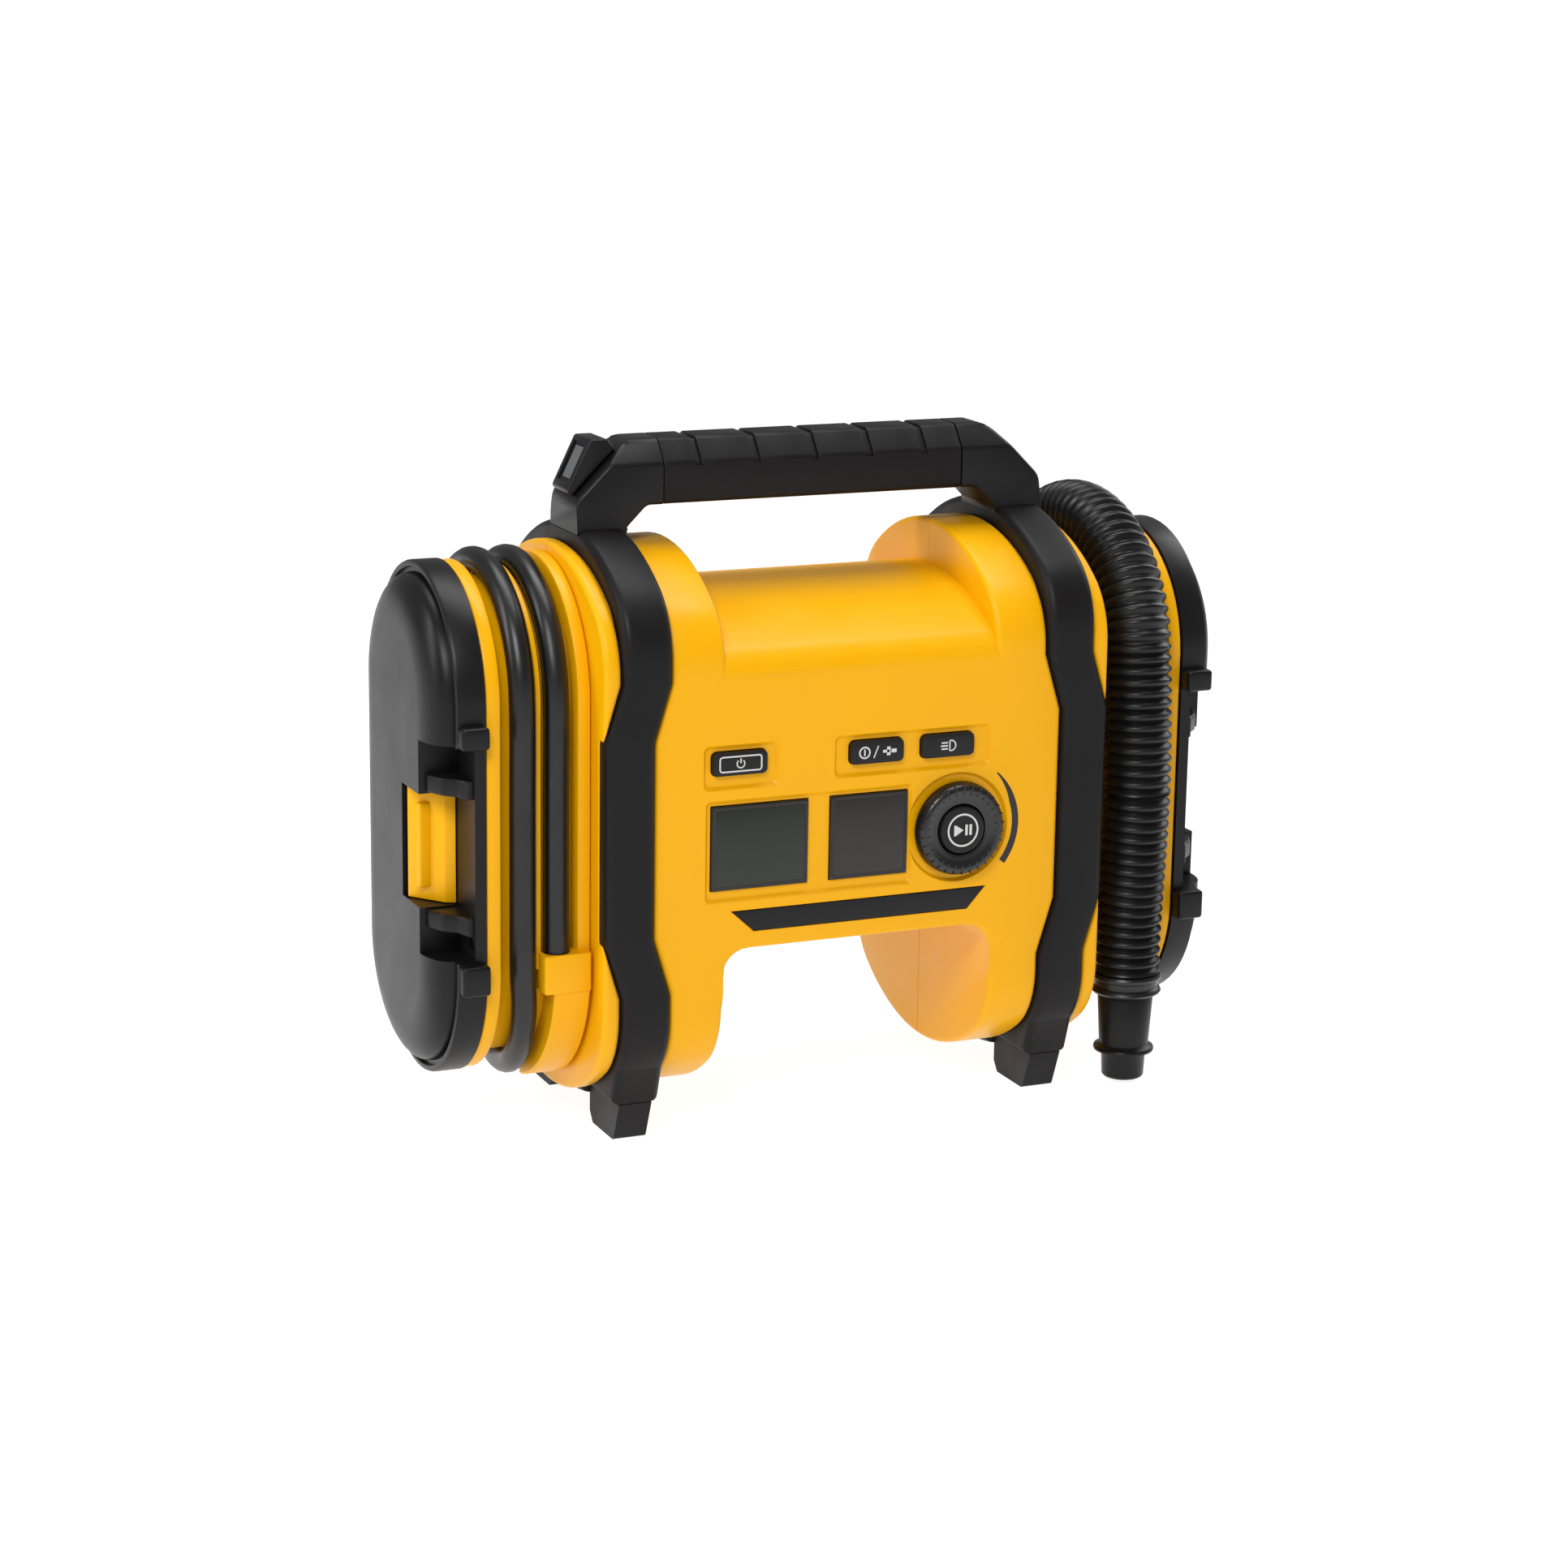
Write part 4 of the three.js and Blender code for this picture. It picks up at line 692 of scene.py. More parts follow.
def batteryRails():
    rails = []
    for side in (-1, 1):
        for xs, topZ in ((rail["webX"], body["bayTopZ"] + 1), (rail["lipX"], rail["lipTopZ"])):
            rails.append(block(sorted(side * x for x in xs), rail["y"], (rail["bottomZ"], topZ)))
    return rails


def makeHousing():
    b = body
    outer = housingForm(0, b["edge"])
    ceiling, side = b["bayTopZ"] + 0.1, b["bayHalf"] - 0.1
    lips = sharpEdges(outer, 60, lambda e: all(v.co.z < ceiling and abs(v.co.x) < side for v in e.verts))
    shell = minus(roundOff(outer, lips, b["bayLip"], 3), housingForm(b["wall"]))
    front = both(shell.copy(), block(allX, (throughHousing[0], -gap / 2), allZ))
    rear = both(shell, block(allX, (gap / 2, throughHousing[1]), allZ))
    finishPiece(minus(front, *panelCutters()), "front_shell", "main_body", yellowAbs,
                ["front_housing"])
    axes = [nodeCentre(f"housing_screw_{i}") for i in range(1, 5)]
    posts = [rod("y", axis, screw["post"], gap / 2, 60) for axis in axes]
    rear = plus(rear, *batteryRails())
    rear = plus(rear, both(plus(*posts), housingForm(1)))
    seatY = nodeBox("housing_screw_1")[1].y - screw["headDepth"]
    hole = [(0, 0), (0, screw["shank"]), (seatY, screw["shank"]), (seatY, screw["head"]), (70, screw["head"]),
            (70, 0)]
    rear = minus(rear, *[lathe("y", axis, hole, 32) for axis in axes])
    rear = minus(rear, rod("x", (outlet["y"], outlet["z"]), outlet["radius"], 93, 101))
    finishPiece(rear, "rear_shell", "main_body", yellowAbs, ["rear_housing"])


# roll frames: soft black straps round the housing, with the feet

foot = {"frontY": 50, "heelY": 20, "padTopZ": 15, "padFrontY": 44, "padHeelY": 23, "padInset": 3,
        "toeZ": 29, "toeY": 54.5, "bevel": 3.2}
handle = {"halfDepth": 14, "topZ": 250.4, "underZ": 227, "cornerX": 65.6, "legInnerX": 73.7,
          "legOuterX": 92.6, "shoulder": 20.4, "footZ": 217.8, "gripHalf": 59.7, "sleeve": 2, "across": 7,
          "down": 8.4, "soft": 3.4, "grooves": (-46, -23, 0, 22, 44), "grooveWidth": 2.4, "grooveDepth": 1}


def frameBmesh():
    f = rollFrame
    outline = [point for point in inset(f, 0) if point[1] > foot["toeZ"] or abs(point[0]) < foot["heelY"] - 1]
    padTop, heel = foot["padTopZ"] + gap, foot["heelY"] - gap
    heelZ = f["bottomZ"] + f["arch"] - math.sqrt(f["arch"] ** 2 - heel ** 2)
    toe = [(foot["toeY"], foot["toeZ"]), (foot["frontY"], padTop), (heel, padTop), (heel, heelZ)]
    low = [i for i, (y, z) in enumerate(outline) if z < foot["toeZ"]]
    upper, under, rest = outline[:low[0]], outline[low[0]:low[-1] + 1], outline[low[-1] + 1:]
    footed = upper + toe + under + [(-y, z) for y, z in reversed(toe)] + rest
    bm = prism("x", footed, f["innerX"], f["innerX"] + f["width"])
    rims = [e for e in sharpEdges(bm, 40) if span(e, "x")[1] - span(e, "x")[0] < 0.01]
    roundOff(bm, rims, foot["bevel"], 4)
    bm = minus(bm, prism("x", inset(f, f["thickness"]), 50, 120))
    for side in (-1, 1):
        for z in (f["kinkStartZ"], f["kinkEndZ"]):
            bmesh.ops.bisect_plane(bm, geom=[*bm.verts, *bm.edges, *bm.faces], dist=seam,
                                   plane_co=(0, 0, f["middleZ"] + side * z), plane_no=(0, 0, 1))
    for vert in bm.verts:
        away = abs(vert.co.z - f["middleZ"])
        share = (f["kinkEndZ"] - away) / (f["kinkEndZ"] - f["kinkStartZ"])
        vert.co.x += f["kink"] * min(1, max(0, share))
    seatHalf = handle["halfDepth"] + gap
    return minus(bm, block((60, 110), (-seatHalf, seatHalf), (f["topZ"] - 3, f["topZ"] + 5)))


def padBmesh(end):
    front, heel, top = foot["frontY"], foot["heelY"], foot["padTopZ"]
    points = [(-front, top), (-foot["padFrontY"], 0, 2), (-foot["padHeelY"], 0, 1.5), (-heel, 4, 1.5),
              (-heel, top)]
    innerX, outerX = rollFrame["innerX"], rollFrame["innerX"] + rollFrame["width"]
    bm = prism("x", [(end * y, z) for y, z in rounded(points, 4)], innerX + foot["padInset"],
               outerX - foot["padInset"])
    below = sharpEdges(bm, 60, lambda e: e.calc_length() > 2 and span(e, "z")[1] < top - 0.1)
    return roundOff(bm, below, 1.2, 3)


def makeFrames():
    for sideName, side in (("left", -1), ("right", 1)):
        finishPiece(onSide(frameBmesh(), side), f"{sideName}_frame_strap", "main_body", softRubber,
                    [f"{sideName}_roll_frame"], smooth=30)
        for endName, end in (("front", 1), ("rear", -1)):
            finishPiece(onSide(padBmesh(end), side), f"{sideName}_{endName}_pad", "main_body", softRubber,
                        [f"{sideName}_{endName}_foot"])


# carrying handle, soft grip and lamp

lamp = {"halfWidth": 8.5, "top": (85.6, 250.9), "foot": (94.5, 232.5), "slotHalf": 4.5, "slotDepth": 3.8,
        "slotFrom": 3, "slotTo": 16, "lip": 1, "lipDepth": 0.5}
allHandle = (-130, 130)  # past both legs
sectionFoot = 115  # z below the legs


def handleSection(depth, bottomZ, soft):
    h = handle
    half, top = h["halfDepth"] - depth, h["topZ"] - depth
    across, down = h["across"] - 0.4 * depth, h["down"] - 0.4 * depth
    return rounded([(-half, bottomZ), (half, bottomZ), (half, top - down, soft), (half - across, top, soft),
                    (-half + across, top, soft), (-half, top - down, soft)], 5)


def makeBar():
    h = handle
    innerCorner = h["underZ"] - (h["legInnerX"] - h["cornerX"])
    outer = [(h["legInnerX"], h["footZ"]), (h["legOuterX"], h["footZ"]),
             (h["legOuterX"], h["topZ"] - h["shoulder"], 8), (h["legOuterX"] - h["shoulder"], h["topZ"], 12)]
    mirrored = [(-point[0], *point[1:]) for point in reversed(outer)]
    inner = [(-h["legInnerX"], innerCorner, 4), (-h["cornerX"], h["underZ"], 4),
             (h["cornerX"], h["underZ"], 4), (h["legInnerX"], innerCorner, 4)]
    bar = prism("y", rounded(outer + mirrored + inner, 7), -h["halfDepth"], h["halfDepth"])
    bar = both(bar, prism("x", handleSection(0, sectionFoot, h["soft"]), *allHandle))
    roundOff(bar, sharpEdges(bar, 50, lambda e: span(e, "z")[0] > h["footZ"] + 1), 1.5, 3)
    shy = h["sleeve"] + gap
    core = prism("x", handleSection(shy, h["underZ"] + shy, 2), -100, 100)
    room = minus(block((-h["gripHalf"], h["gripHalf"]), (-40, 40), (sectionFoot, 300)), core)
    finishPiece(minus(bar, room), "handle_frame", "main_body", blackNylon, ["handle_bar"])


def makeGrip():
    h = handle
    reach, waist = h["gripHalf"] - gap, h["topZ"] - h["down"] - 1.4
    sleeve = prism("x", handleSection(0, h["underZ"], h["soft"]), -reach, reach)
    under = sharpEdges(sleeve, 60, lambda e: span(e, "z")[1] < h["underZ"] + 1 and e.calc_length() > 50)
    roundOff(sleeve, under, 2.2, 4)
    roundOff(sleeve, sharpEdges(sleeve, 60, lambda e: abs(e.verts[0].co.x) > reach - 0.01), 0.7, 2)
    middle = prism("x", handleSection(h["grooveDepth"], sectionFoot, h["soft"] - 1), -100, 100)
    for x in h["grooves"]:
        half = h["grooveWidth"] / 2
        band = prism("x", [(-40, waist), (40, waist), (40, 300), (-40, 300)], x - half, x + half)
        sleeve = minus(sleeve, minus(band, middle.copy()))
    middle.free()
    lips = sharpEdges(sleeve, 50, lambda e: span(e, "z")[0] > 237 and abs(e.verts[0].co.x) < reach - 2)
    roundOff(sleeve, lips, 0.45, 2)
    hollow = prism("x", handleSection(h["sleeve"], h["underZ"] + h["sleeve"], 2), -100, 100)
    finishPiece(minus(sleeve, hollow), "grip_sleeve", "main_body", softRubber, ["handle_grip"])


def makeLamp():
    l, h = lamp, handle
    seat = h["topZ"] - h["shoulder"] + h["legOuterX"] + gap * math.sqrt(2)  # x + z on the shoulder's slope
    (topX, topZ), (footX, footZ) = l["top"], l["foot"]
    outline = rounded([(topX, topZ, 1.4), (footX, footZ, 1.4), (footX - 2.4, seat - footX + 2.4, 0.5),
                       (topX - 9.6, seat - topX + 9.6, 0.5), (topX - 6.6, topZ, 1.6)], 4)
    wedge = prism("y", outline, -l["halfWidth"], l["halfWidth"])
    roundOff(wedge, sharpEdges(wedge, 60), 0.9, 3)
    down = Vector((footX - topX, footZ - topZ)).normalized()
    inward = Vector((down.y, -down.x))

    def pocket(spread, depth):
        start, end, half = l["slotFrom"] - spread, l["slotTo"] + spread, l["slotHalf"] + spread
        corners = [(start, -1), (start, depth), (end, depth), (end, -1)]
        return prism("y", [tuple(Vector(l["top"]) + down * along + inward * deep) for along, deep in corners],
                     -half, half)

    shell = minus(wedge, pocket(0, l["slotDepth"]), pocket(l["lip"], l["lipDepth"]))
    finishPiece(flipX(shell), "lamp_shell", "main_body", blackNylon, ["lamp_housing"])


# spools, doors and latches, all built on the stadium outline

spool = {"innerX": 99.6, "endX": 138, "rimX": 132.6, "rim": 45.6, "flange": 47, "axle": 20, "floor": 3,
         "wall": 2.6}
leftSpool = {"core": 40.0, "flangeX": 104.6, "cove": 1.6, "dividerX": (116.9, 119.5), "divider": 44,
             "saddleX": (100.6, 114.2), "wrap": 50.95, "saddleHeelY": -12, "socketX": (100.6, 118.2),
             "socketY": -37.4, "socketZ": (59.7, 74), "boreX": 112, "boreY": -45, "bore": 4.95, "boreZ": 70.7,
             "fittingY": -42, "fittingZ": 66, "fitting": 4.3}
rightSpool = {"core": 35.7, "flangeX": 102.6, "cove": 1.2, "shelfHalf": 34.7, "shelfZ": (92, 94.6)}
door = {"radius": 46.2, "rimX": 138.4, "rimDepth": 10.4, "domeTopX": 156.9, "domeInset": 4.5, "slope": 16,
        "wall": 2.4, "channel": 1.5, "chamfer": 1.2, "notchZ": (73, 151), "latchZ": (90, 131),
        "notchFloorX": 142.5, "notchBackY": -27, "pocketY": (-40, -8), "bossIn": 6.2, "bossOut": 5.3,
        "dentY": (-45.2, -38.8), "dentZ": (77, 81.2), "dentDepth": 1.2, "ribWidth": 6.6}
hinge = {"x": 141.5, "y": 50.8, "radius": 4, "bore": 1.9, "halfHeight": 33, "ear": 8, "middleZ": 115}
eased = [(0, -0.8), (0.3, -0.25), (0.9, 0)]  # a flange's edge, as steps along and out
pastEnd = 200  # x past the doors


def stadiumLathe(profile, ring=False, steps=60):
    # turns a profile of (x, radius) points, then pulls the two halves apart; a profile that is
    # not a ring starts and ends short of the axis and is closed by two flats
    bm = spun(profile, ring, steps)
    halfStep = Matrix.Rotation(math.pi / steps, 4, "Z")
    bm.transform(Matrix.Rotation(math.radians(90), 4, "Y") @ halfStep)
    for vert in bm.verts:
        vert.co.z += stadium["middleZ"] + math.copysign(stadium["halfRun"], vert.co.z)
    if not ring:
        bmesh.ops.holes_fill(bm, edges=[e for e in bm.edges if len(e.link_faces) == 1], sides=0)
    bmesh.ops.recalc_face_normals(bm, faces=bm.faces)
    return bm


def flatTop(xs, radius, corner):
    # a stretch of a profile with the same corner at both ends, given as steps along and out
    return ([(xs[0] + along, radius + out) for along, out in corner]
            + [(xs[1] - along, radius + out) for along, out in reversed(corner)])


def hingeBarrel(low, high, ease=0.5):
    radius = hinge["radius"]
    return lathe("z", (hinge["x"], hinge["y"]), [(low, 0), (low, radius - ease), (low + ease, radius),
                                                 (high - ease, radius), (high, radius - ease), (high, 0)], 40)


def hingeEar(end):
    h = hinge
    zs = sorted((h["middleZ"] + end * (h["halfHeight"] - h["ear"]), h["middleZ"] + end * h["halfHeight"]))
    arm = block((spool["rimX"], h["x"] - 2), (h["y"] - 12, h["y"] + h["radius"]), zs)
    arm = minus(arm, block((spool["endX"], pastEnd), (0, h["y"] - h["radius"]), allZ))
    return plus(arm, hingeBarrel(*zs))


def hingeBore():
    return rod("z", (hinge["x"], hinge["y"]), hinge["bore"], *allZ, steps=24)


def spoolForm(shape):
    s, core, flangeX, cove = spool, shape["core"], shape["flangeX"], shape["cove"]
    coved = [(0, cove), (0.3 * cove, 0.3 * cove), (cove, 0)]
    floorX, inside = s["innerX"] + s["floor"], core - s["wall"]
    profile = [(s["innerX"], s["axle"]), *flatTop((s["innerX"], flangeX), s["flange"], eased),
               *flatTop((flangeX, s["rimX"]), core, coved), *flatTop((s["rimX"], s["endX"]), s["rim"], eased),
               (s["endX"], inside), (floorX, inside), (floorX, s["axle"])]
    return minus(plus(stadiumLathe(profile), hingeEar(-1), hingeEar(1)), hingeBore())


def makeLeftSpool():
    s = leftSpool
    inside, wrap, (lowZ, topZ) = s["core"] - 1.3, s["wrap"], s["socketZ"]
    divider = stadiumLathe(flatTop(s["dividerX"], s["divider"], [(0, -5.2), (0, -0.8), (0.5, 0)]), ring=True)
    divider = minus(divider, block((100, 130), (-60, 60), (0, stadiumBottomZ)))
    saddle = stadiumLathe(flatTop(s["saddleX"], wrap, [(0, 10 - wrap), (0, -0.8), (0.8, 0)]))
    saddle = both(saddle, block((90, 130), (-70, s["saddleHeelY"]), (0, topZ)))
    socket = block(s["socketX"], (-wrap, s["socketY"]), (lowZ, topZ))
    roundOff(socket, sharpEdges(socket, 60, lambda e: span(e, "y")[0] < -49), 0.8, 3)
    socket = minus(plus(socket, saddle), stadiumLathe([(90, 10), (90, inside), (130, inside), (130, 10)]))
    bore = rod("z", (s["boreX"], s["boreY"]), s["bore"], s["boreZ"], 80)
    fitting = rod("x", (s["fittingY"], s["fittingZ"]), s["fitting"], 99, 115, steps=24)
    form = minus(plus(spoolForm(s), divider, socket), bore, fitting)
    finishPiece(flipX(form), "tyre_hose_spool", "main_body", yellowAbs, ["left_spool"])


def makeRightSpool():
    s, reach = rightSpool, rightSpool["shelfHalf"]
    form = plus(spoolForm(s), block((spool["innerX"] + 1, spool["endX"]), (-reach, reach), s["shelfZ"]))
    form = minus(form, rod("x", (outlet["y"], outlet["z"]), outlet["radius"], 98, 127, steps=40))
    form = minus(form, rod("y", (airbedHose["x"], outlet["z"]), outlet["radius"], outlet["y"], 60, steps=40))
    finishPiece(form, "airbed_hose_spool", "main_body", yellowAbs, ["right_spool"])


def doorProfile(depth):
    d = door
    rimTop, edge = d["rimX"] + d["rimDepth"] - depth, d["radius"] - depth
    dome, top = d["radius"] - d["domeInset"] - depth, d["domeTopX"] - depth
    rise = d["domeTopX"] - d["rimX"] - d["rimDepth"]
    if depth:
        # the hollow is open at the spool's side, so it starts before the rim does
        points = [(d["rimX"] - 1, 8), (d["rimX"] - 1, edge), (rimTop, edge), (rimTop, dome)]
    else:
        floor = rimTop - d["channel"]
        points = [(d["rimX"], 8), (d["rimX"], edge), (rimTop - d["chamfer"], edge),
                  (rimTop - 0.3, edge - 0.4), (rimTop, edge - d["chamfer"]), (rimTop, dome + 2.3),
                  (rimTop - 0.3, dome + 2.0), (floor, dome + 1.9), (floor, dome + 0.3)]
    for i in range(9):
        angle = math.radians(90 * i / 8)
        points.append((top - rise * (1 - math.sin(angle)), dome - d["slope"] * (1 - math.cos(angle))))
    return points + [(top, 8)]


def latchPocket(spread):
    d = door
    deep = (d["notchFloorX"] - spread, pastEnd)
    notch = block(deep, (-80, d["notchBackY"] + spread), (d["notchZ"][0] - spread, d["notchZ"][1] + spread))
    well = block(deep, (d["pocketY"][0], d["pocketY"][1] + spread),
                 (d["latchZ"][0] - gap - spread, d["latchZ"][1] + gap + spread))
    return plus(notch, well)


def doorBosses():
    # one on the rim above the latch's notch and one below it
    d, radius, rimTop = door, door["radius"], door["rimX"] + door["rimDepth"]
    inRim = stadiumLathe([(100, 8), (100, radius - 0.1), (pastEnd, radius - 0.1), (pastEnd, 8)])
    bosses = []
    for zs in ((d["notchZ"][1], d["notchZ"][1] + 8), (d["notchZ"][0] - 11, d["notchZ"][0])):
        boss = block((d["rimX"], rimTop), (-radius - d["bossOut"], -radius + d["bossIn"]), zs)
        roundOff(boss, [e for e in boss.edges if span(e, "y")[0] < -50], 1.3, 3)
        bosses.append(minus(boss, inRim.copy()))
    inRim.free()
    return bosses


def doorHinge():
    h, rimTop = hinge, door["rimX"] + door["rimDepth"]
    reach = h["halfHeight"] - h["ear"] - gap
    zs = (h["middleZ"] - reach, h["middleZ"] + reach)
    strip = block((h["x"] - 1, rimTop), (door["radius"] - 1, h["y"]), zs)
    roundOff(strip, [e for e in strip.edges if span(e, "x")[0] > rimTop - 1], 1.2, 3)
    return [hingeBarrel(*zs), strip]


def latchRibs():
    # a curved rib above the latch and one below it
    d, base = door, door["notchFloorX"] - 1
    outline = rounded([(base, -20), (base, -44.4), (144.2, -44.4, 1), (146.8, -39.5, 3), (151.2, -35.5, 5),
                       (154.2, -29, 5), (155.4, -20)], 4)
    low, high = d["latchZ"]
    ribs = []
    for zs in ((high + 1, high + 1 + d["ribWidth"]), (low - 1 - d["ribWidth"], low - 1)):
        rib = prism("z", outline, *zs)
        ribs.append(roundOff(rib, [e for e in sharpEdges(rib, 60) if span(e, "x")[1] > 145], 0.9, 3))
    return ribs


def makeDoor(sideName, side):
    d = door
    form = minus(stadiumLathe(doorProfile(0)), latchPocket(0))
    added = [*doorBosses(), *doorHinge(), *latchRibs()]
    hollow = minus(stadiumLathe(doorProfile(d["wall"])), latchPocket(d["wall"]))
    form = minus(plus(form, *added), hollow, hingeBore())
    form = minus(form, block((d["notchFloorX"] - d["dentDepth"], 160), d["dentY"], d["dentZ"]))
    finishPiece(onSide(form, side), f"{sideName}_storage_door", f"{sideName}_door_body", blackNylon,
                [f"{sideName}_door"])


def makeLatch(sideName, side):
    floor, (low, high) = door["notchFloorX"], door["latchZ"]
    plate = rounded([(floor + 13.9, -11.5, 0.5), (floor + 12.5, -11.2, 0.3), (floor + gap, -20),
                     (floor + gap, -26), (floor + 4, -24.5, 1)], 4)
    form = prism("z", plate, low, high)
    roundOff(form, sharpEdges(form, 60), 0.35, 2)
    pull = rounded([(floor + 10.1, -15.4), (floor + 12.7, -18.4, 0.8), (floor + 11.7, -20.2, 0.8),
                    (floor + 7.3, -19.8)], 4)
    ridge = prism("z", pull, low + 5, high - 5)
    roundOff(ridge, sharpEdges(ridge, 60), 0.7, 3)
    finishPiece(onSide(plus(form, ridge), side), f"{sideName}_catch", f"{sideName}_latch_body", yellowAbs,
                [f"{sideName}_latch"])


# control panel: keys, windows, dial, strip and the printed marks

printDepth, printOut = 0.08, 0.06  # how thick a print is and how far it stands out
dial = {"bore": 9.6, "hub": 12, "ticks": 30, "tickWidth": 0.44, "tickZ": (13.2, 16.7)}
rangeMark = {"outer": 25.2, "inner": 22.6, "taper": 2.1, "taperSteps": 9, "steps": 26, "from": 50, "to": -38}


def makeKeys():
    flange = panel["keyFlange"]
    flangeY = -body["halfDepth"] + body["wall"] + gap
    for name in ("power", "mode", "light"):
        low, high = nodeBox(f"{name}_button")
        outline = rectangle((low.x + flange, high.x - flange), (low.z + flange, high.z - flange),
                            panel["keyCorner"])
        cap = prism("y", outline, low.y, flangeY + 0.7)
        roundOff(cap, sharpEdges(cap, 60, lambda e: span(e, "y")[1] < low.y + 0.01), 0.5, 3)
        middle = (low + high) / 2
        base = block((low.x, high.x), (flangeY, flangeY + 1), (low.z, high.z))
        stem = block((middle.x - 2, middle.x + 2), (flangeY, high.y), (middle.z - 2, middle.z + 2))
        finishPiece(plus(cap, base, stem), f"{name}_key", f"{name}_button_body", buttonRubber,
                    [f"{name}_button"])


def stroke(points, width, closed=False):
    # the two sides of a printed line of even width through the given points
    left, right = [], []
    count = len(points)
    for i, point in enumerate(points):
        before = Vector(points[i - 1] if i or closed else point)
        after = Vector(points[(i + 1) % count] if i < count - 1 or closed else point)
        ahead = (after - before).normalized()
        aside = Vector((-ahead.y, ahead.x)) * width / 2
        left.append(tuple(Vector(point) + aside))
        right.append(tuple(Vector(point) - aside))
    return [left, right]


def line(points, width):
    left, right = stroke(points, width)
    return left + right[::-1]


def printMark(name, ride, ink, frontY, shapes):
    # shapes are outlines in (x, z), or pairs of outlines for a line that closes on itself
    bm = bmesh.new()
    for shape in shapes:
        if isinstance(shape[0], list):
            outer, inner = shape
            for i in range(len(outer)):
                j = (i + 1) % len(outer)
                corners = (outer[i], outer[j], inner[j], inner[i])
                bm.faces.new([bm.verts.new((x, frontY, z)) for x, z in corners])
        else:
            bm.faces.new([bm.verts.new((x, frontY, z)) for x, z in shape])
    bmesh.ops.remove_doubles(bm, verts=bm.verts, dist=seam)
    back = bmesh.ops.extrude_face_region(bm, geom=list(bm.faces))["geom"]
    backVerts = [v for v in back if isinstance(v, bmesh.types.BMVert)]
    bmesh.ops.translate(bm, vec=(0, printDepth, 0), verts=backVerts)
    bmesh.ops.recalc_face_normals(bm, faces=bm.faces)
    finishPiece(bm, name, ride, ink, smooth=30)


def makeIcons():
    keyY = nodeBox("power_button")[0].y - printOut
    x, z = nodeCentre("power_button")
    border = rectangle((x - 8, x + 8), (z - 2.7, z + 2.7), 1, 4)
    printMark("power_mark", "power_button_body", iconInk, keyY,
              [stroke(border, 0.55, closed=True), line(arc((x, z), 1.5, 130, 410, 16), 0.45),
               line([(x, z + 0.2), (x, z + 1.9)], 0.5)])
    x, z = nodeCentre("mode_button")
    gauge = stroke(arc((x - 5.2, z), 2.0, 0, 345, 23), 0.6, closed=True)
    needle = rectangle((x - 5.5, x - 4.9), (z - 1.2, z + 1.2))
    slash = line([(x - 1.6, z - 2.2), (x + 0.2, z + 2.2)], 0.45)
    valve = [rectangle((x + start, x + end), (z - half, z + half))
             for start, end, half in ((2, 4.6, 0.5), (3.6, 5, 1.6), (5.4, 7.4, 0.7))]
    printMark("mode_mark", "mode_button_body", iconInk, keyY, [gauge, needle, slash, *valve])
    x, z = nodeCentre("light_button")
    lens = [(x + 0.4, z - 1.9), *arc((x + 0.9, z), 1.9, -90, 90, 12), (x + 0.4, z + 1.9)]
    rays = [rectangle((x - 3.2 + 0.3 * abs(i), x - 0.4), (z + i * 1.15 - 0.28, z + i * 1.15 + 0.28))
            for i in (-1, 0, 1)]
    printMark("light_mark", "light_button_body", iconInk, keyY, [stroke(lens, 0.5, closed=True), *rays])
    x, z = nodeCentre("start_button")
    bars = [rectangle((x + start, x + end), (z - 2, z + 2))
            for start, end in ((-3.6, -2.9), (0.9, 1.9), (2.6, 3.6))]
    arrow = [(x - 2.9, z - 2), (x + 0.2, z), (x - 2.9, z + 2)]
    printMark("start_mark", "start_button_body", iconInk, nodeBox("start_button")[0].y - printOut,
              [stroke(arc((x, z), 5.9, 0, 352, 44), 0.7, closed=True), bars[0], arrow, *bars[1:]])


def printRange():
    # an arc beside the dial that swells from its upper end
    m, (x, z) = rangeMark, nodeCentre("dial")
    outer = arc((x, z), m["outer"], m["from"], m["to"], m["steps"])
    inner = []
    for i, (outerX, outerZ) in enumerate(outer):
        share = (m["inner"] + m["taper"] * (1 - min(1, i / m["taperSteps"]))) / m["outer"]
        inner.append((x + (outerX - x) * share, z + (outerZ - z) * share))
    printMark("dial_range_mark", "main_body", darkInk, -body["halfDepth"] - printOut, [outer + inner[::-1]])


def makeWindows():
    border = 0.9
    for sideName, material in (("left", darkWindow), ("right", greyWindow)):
        low, high = nodeBox(f"{sideName}_window")
        pane = block((low.x, high.x), (low.y, high.y), (low.z, high.z))
        roundOff(pane, sharpEdges(pane, 60), 0.5, 3)
        finishPiece(pane, f"{sideName}_pane", "main_body", material, [f"{sideName}_window"])
        edge = rectangle((low.x + border, high.x - border), (low.z + border, high.z - border), 0.8, 4)
        printMark(f"{sideName}_pane_border", "main_body", darkInk, low.y - printOut,
                  [stroke(edge, 1.0, closed=True)])


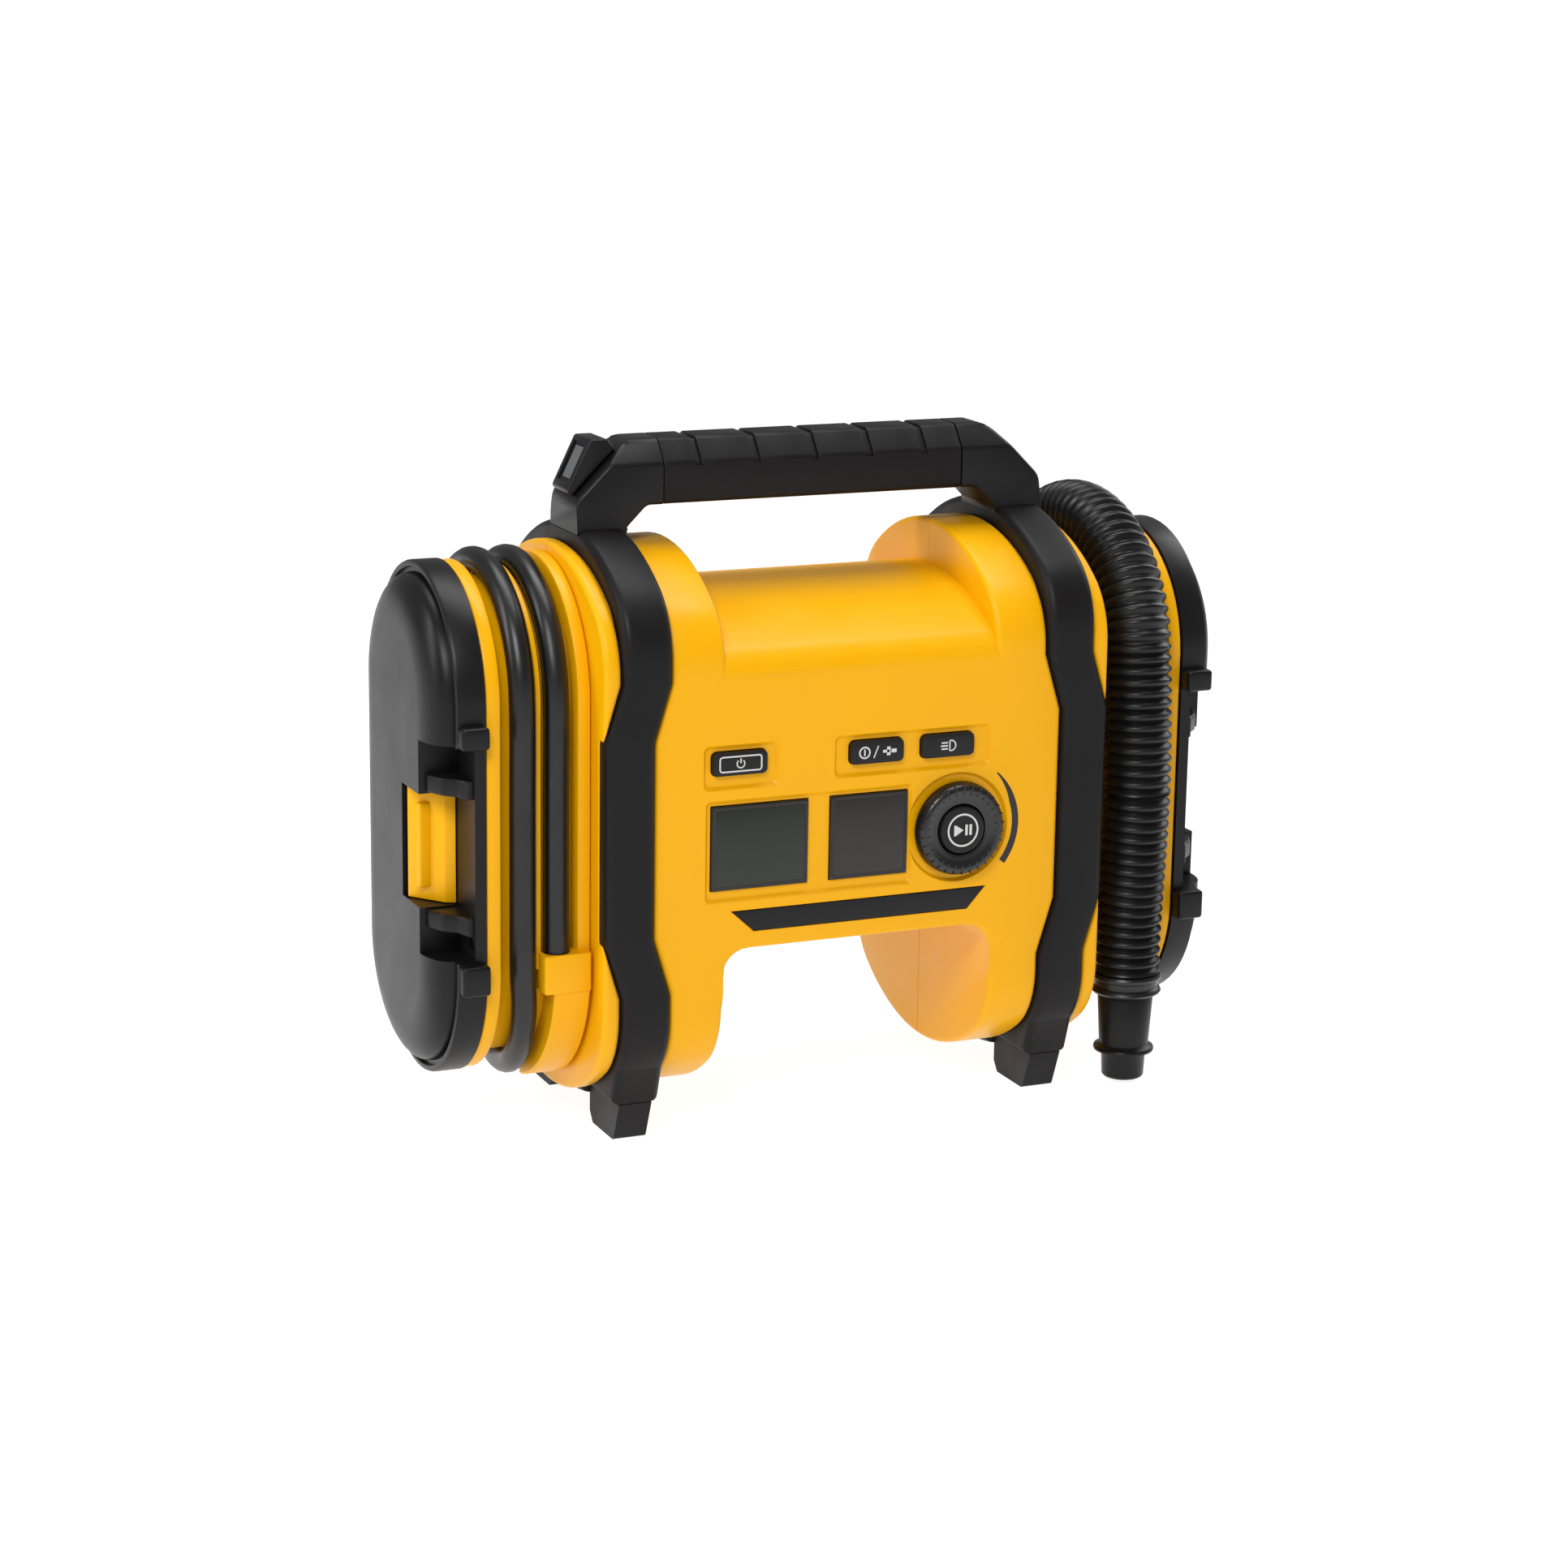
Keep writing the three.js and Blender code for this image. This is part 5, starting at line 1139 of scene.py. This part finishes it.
def makeDial():
    low, high = nodeBox("dial")
    front, face, bore, hub = low.y, -body["halfDepth"], dial["bore"], dial["hub"]
    skirt = [(face - 2, hub), (face - gap, hub), (face - gap, 16.6), (face - gap - 0.5, 17.5),
             (face - 2.4, 17.4)]
    rim = [(front + 1.6, 16.9), (front + 0.6, 16.2), (front + 0.1, 15.4), (front, 14.7), (front + 0.15, 14.0)]
    dish = [(front + 0.7, 12.6), (front + 1.2, 11), (front + 1.2, bore + 0.5), (front + 1.5, bore)]
    knob = lathe("y", nodeCentre("dial"), [*skirt, *rim, *dish, (high.y, bore), (high.y, hub)], 96)
    x, z = nodeCentre("dial")
    for i in range(dial["ticks"]):
        half = dial["tickWidth"] / 2
        tick = block((-half, half), (front - 0.02, front + 1.5), dial["tickZ"])
        tick.transform(Matrix.Rotation(2 * math.pi * i / dial["ticks"], 4, "Y"))
        bmesh.ops.translate(tick, vec=(x, 0, z), verts=tick.verts)
        work = bpy.data.meshes.new("work")
        tick.to_mesh(work)
        tick.free()
        knob.from_mesh(work)
        bpy.data.meshes.remove(work)
    finishPiece(knob, "pressure_dial", "dial_body", dialPlastic, ["dial"])


def makeStartKey():
    low, high = nodeBox("start_button")
    radius, front = (high.x - low.x) / 2, low.y
    profile = [(front + 0.12, 0), (front + 0.1, radius - 3), (front, radius - 1.2),
               (front + 0.15, radius - 0.5), (front + 0.6, radius - 0.1), (front + 1.2, radius),
               (high.y, radius), (high.y, 0)]
    finishPiece(lathe("y", nodeCentre("dial"), profile, 72), "start_key", "start_button_body", buttonRubber,
                ["start_button"])


def makeStrip():
    low, high = nodeBox("stripe_label")
    strip = prism("y", stripeOutline(gap), low.y, high.y)
    roundOff(strip, sharpEdges(strip, 60, lambda e: span(e, "y")[1] < low.y + 0.01), 0.2, 2)
    finishPiece(strip, "front_strip", "main_body", blackNylon, ["stripe_label"])


makeTyreHose()
makeAirbedHose()
print("hoses laid")
makeHousing()
print("housing moulded")
makeFrames()
print("frames and feet moulded")
makeBar()
makeGrip()
makeLamp()
print("handle and lamp moulded")
makeLeftSpool()
makeRightSpool()
for sideName, side in (("left", -1), ("right", 1)):
    makeDoor(sideName, side)
    makeLatch(sideName, side)
print("spools, doors and latches moulded")
makeKeys()
makeWindows()
makeDial()
makeStartKey()
makeStrip()
makeIcons()
printRange()
print("panel fitted")


# finishes of the pieces that keep their plain shape

kept = {
    blackNylon: ["battery_terminal_block", "pressure_sensor", "blower_housing", "blower_cover", "volume_port",
                 "chuck_lever"],
    darkWindow: ["left_display"],
    greyWindow: ["right_display"],
    clearLens: ["lamp_lens"],
    boardGreen: ["control_board", "led_board"],
    steel: ["housing_screw_1", "housing_screw_2", "housing_screw_3", "housing_screw_4", "left_hinge_pin",
            "right_hinge_pin", "crank_gear", "motor_pinion", "pump_motor", "blower_motor"],
    aluminium: ["crankcase", "piston_rod", "cylinder", "cylinder_head"],
    brass: ["valve_chuck", "air_manifold"],
    copper: ["battery_contacts"],
    nylonWhite: ["air_line", "blower_impeller"],
}


def dressKept():
    for material, names in kept.items():
        for name in names:
            mesh = frame["nodes"][name].data
            mesh.materials.clear()
            mesh.materials.append(material)


dressKept()
print("kept pieces dressed")


# floor and studio light

studio = {"world": 0.26, "floorColour": "#A8A8A8", "floorGlow": 0.92, "floorMetres": 60, "aim": (0, 0, 110)}
lights = {
    "key": {"place": (-650, -900, 1000), "size": (450, 450), "power": 10},
    "top": {"place": (100, 100, 1200), "size": (900, 500), "power": 8},
    "rim": {"place": (900, 300, 700), "size": (500, 700), "power": 4},
    "left strip": {"place": (-1000, 100, 650), "size": (160, 700), "power": 4},
}


def layFloor():
    bm = bmesh.new()
    bmesh.ops.create_grid(bm, x_segments=1, y_segments=1, size=studio["floorMetres"])
    mesh = bpy.data.meshes.new("floor")
    bm.to_mesh(mesh)
    bm.free()
    floor = bpy.data.objects.new("floor", mesh)
    bpy.context.scene.collection.objects.link(floor)
    paper = bpy.data.materials.new("paper backdrop white")  # matt, with a glow that keeps it white
    paper.use_nodes = True
    shader = paper.node_tree.nodes["Principled BSDF"]
    shader.inputs["Base Color"].default_value = srgb(studio["floorColour"])
    shader.inputs["Roughness"].default_value = 0.9
    shader.inputs["Emission Color"].default_value = srgb("#FFFFFF")
    shader.inputs["Emission Strength"].default_value = studio["floorGlow"]
    mesh.materials.append(paper)


def lightStudio():
    world = bpy.data.worlds.new("studio")
    world.use_nodes = True
    world.node_tree.nodes["Background"].inputs["Color"].default_value = srgb("#FFFFFF")
    world.node_tree.nodes["Background"].inputs["Strength"].default_value = studio["world"]
    bpy.context.scene.world = world
    for name, made in lights.items():
        light = bpy.data.objects.new(name, bpy.data.lights.new(name, "AREA"))
        light.data.shape = "RECTANGLE"
        light.data.size, light.data.size_y = made["size"][0] * mm, made["size"][1] * mm
        light.data.energy = made["power"]
        light.location = Vector(made["place"]) * mm
        light.rotation_mode = "QUATERNION"
        aim = Vector(studio["aim"]) - Vector(made["place"])
        light.rotation_quaternion = aim.to_track_quat("-Z", "Y")
        bpy.context.scene.collection.objects.link(light)


layFloor()
lightStudio()
print("stage lit")
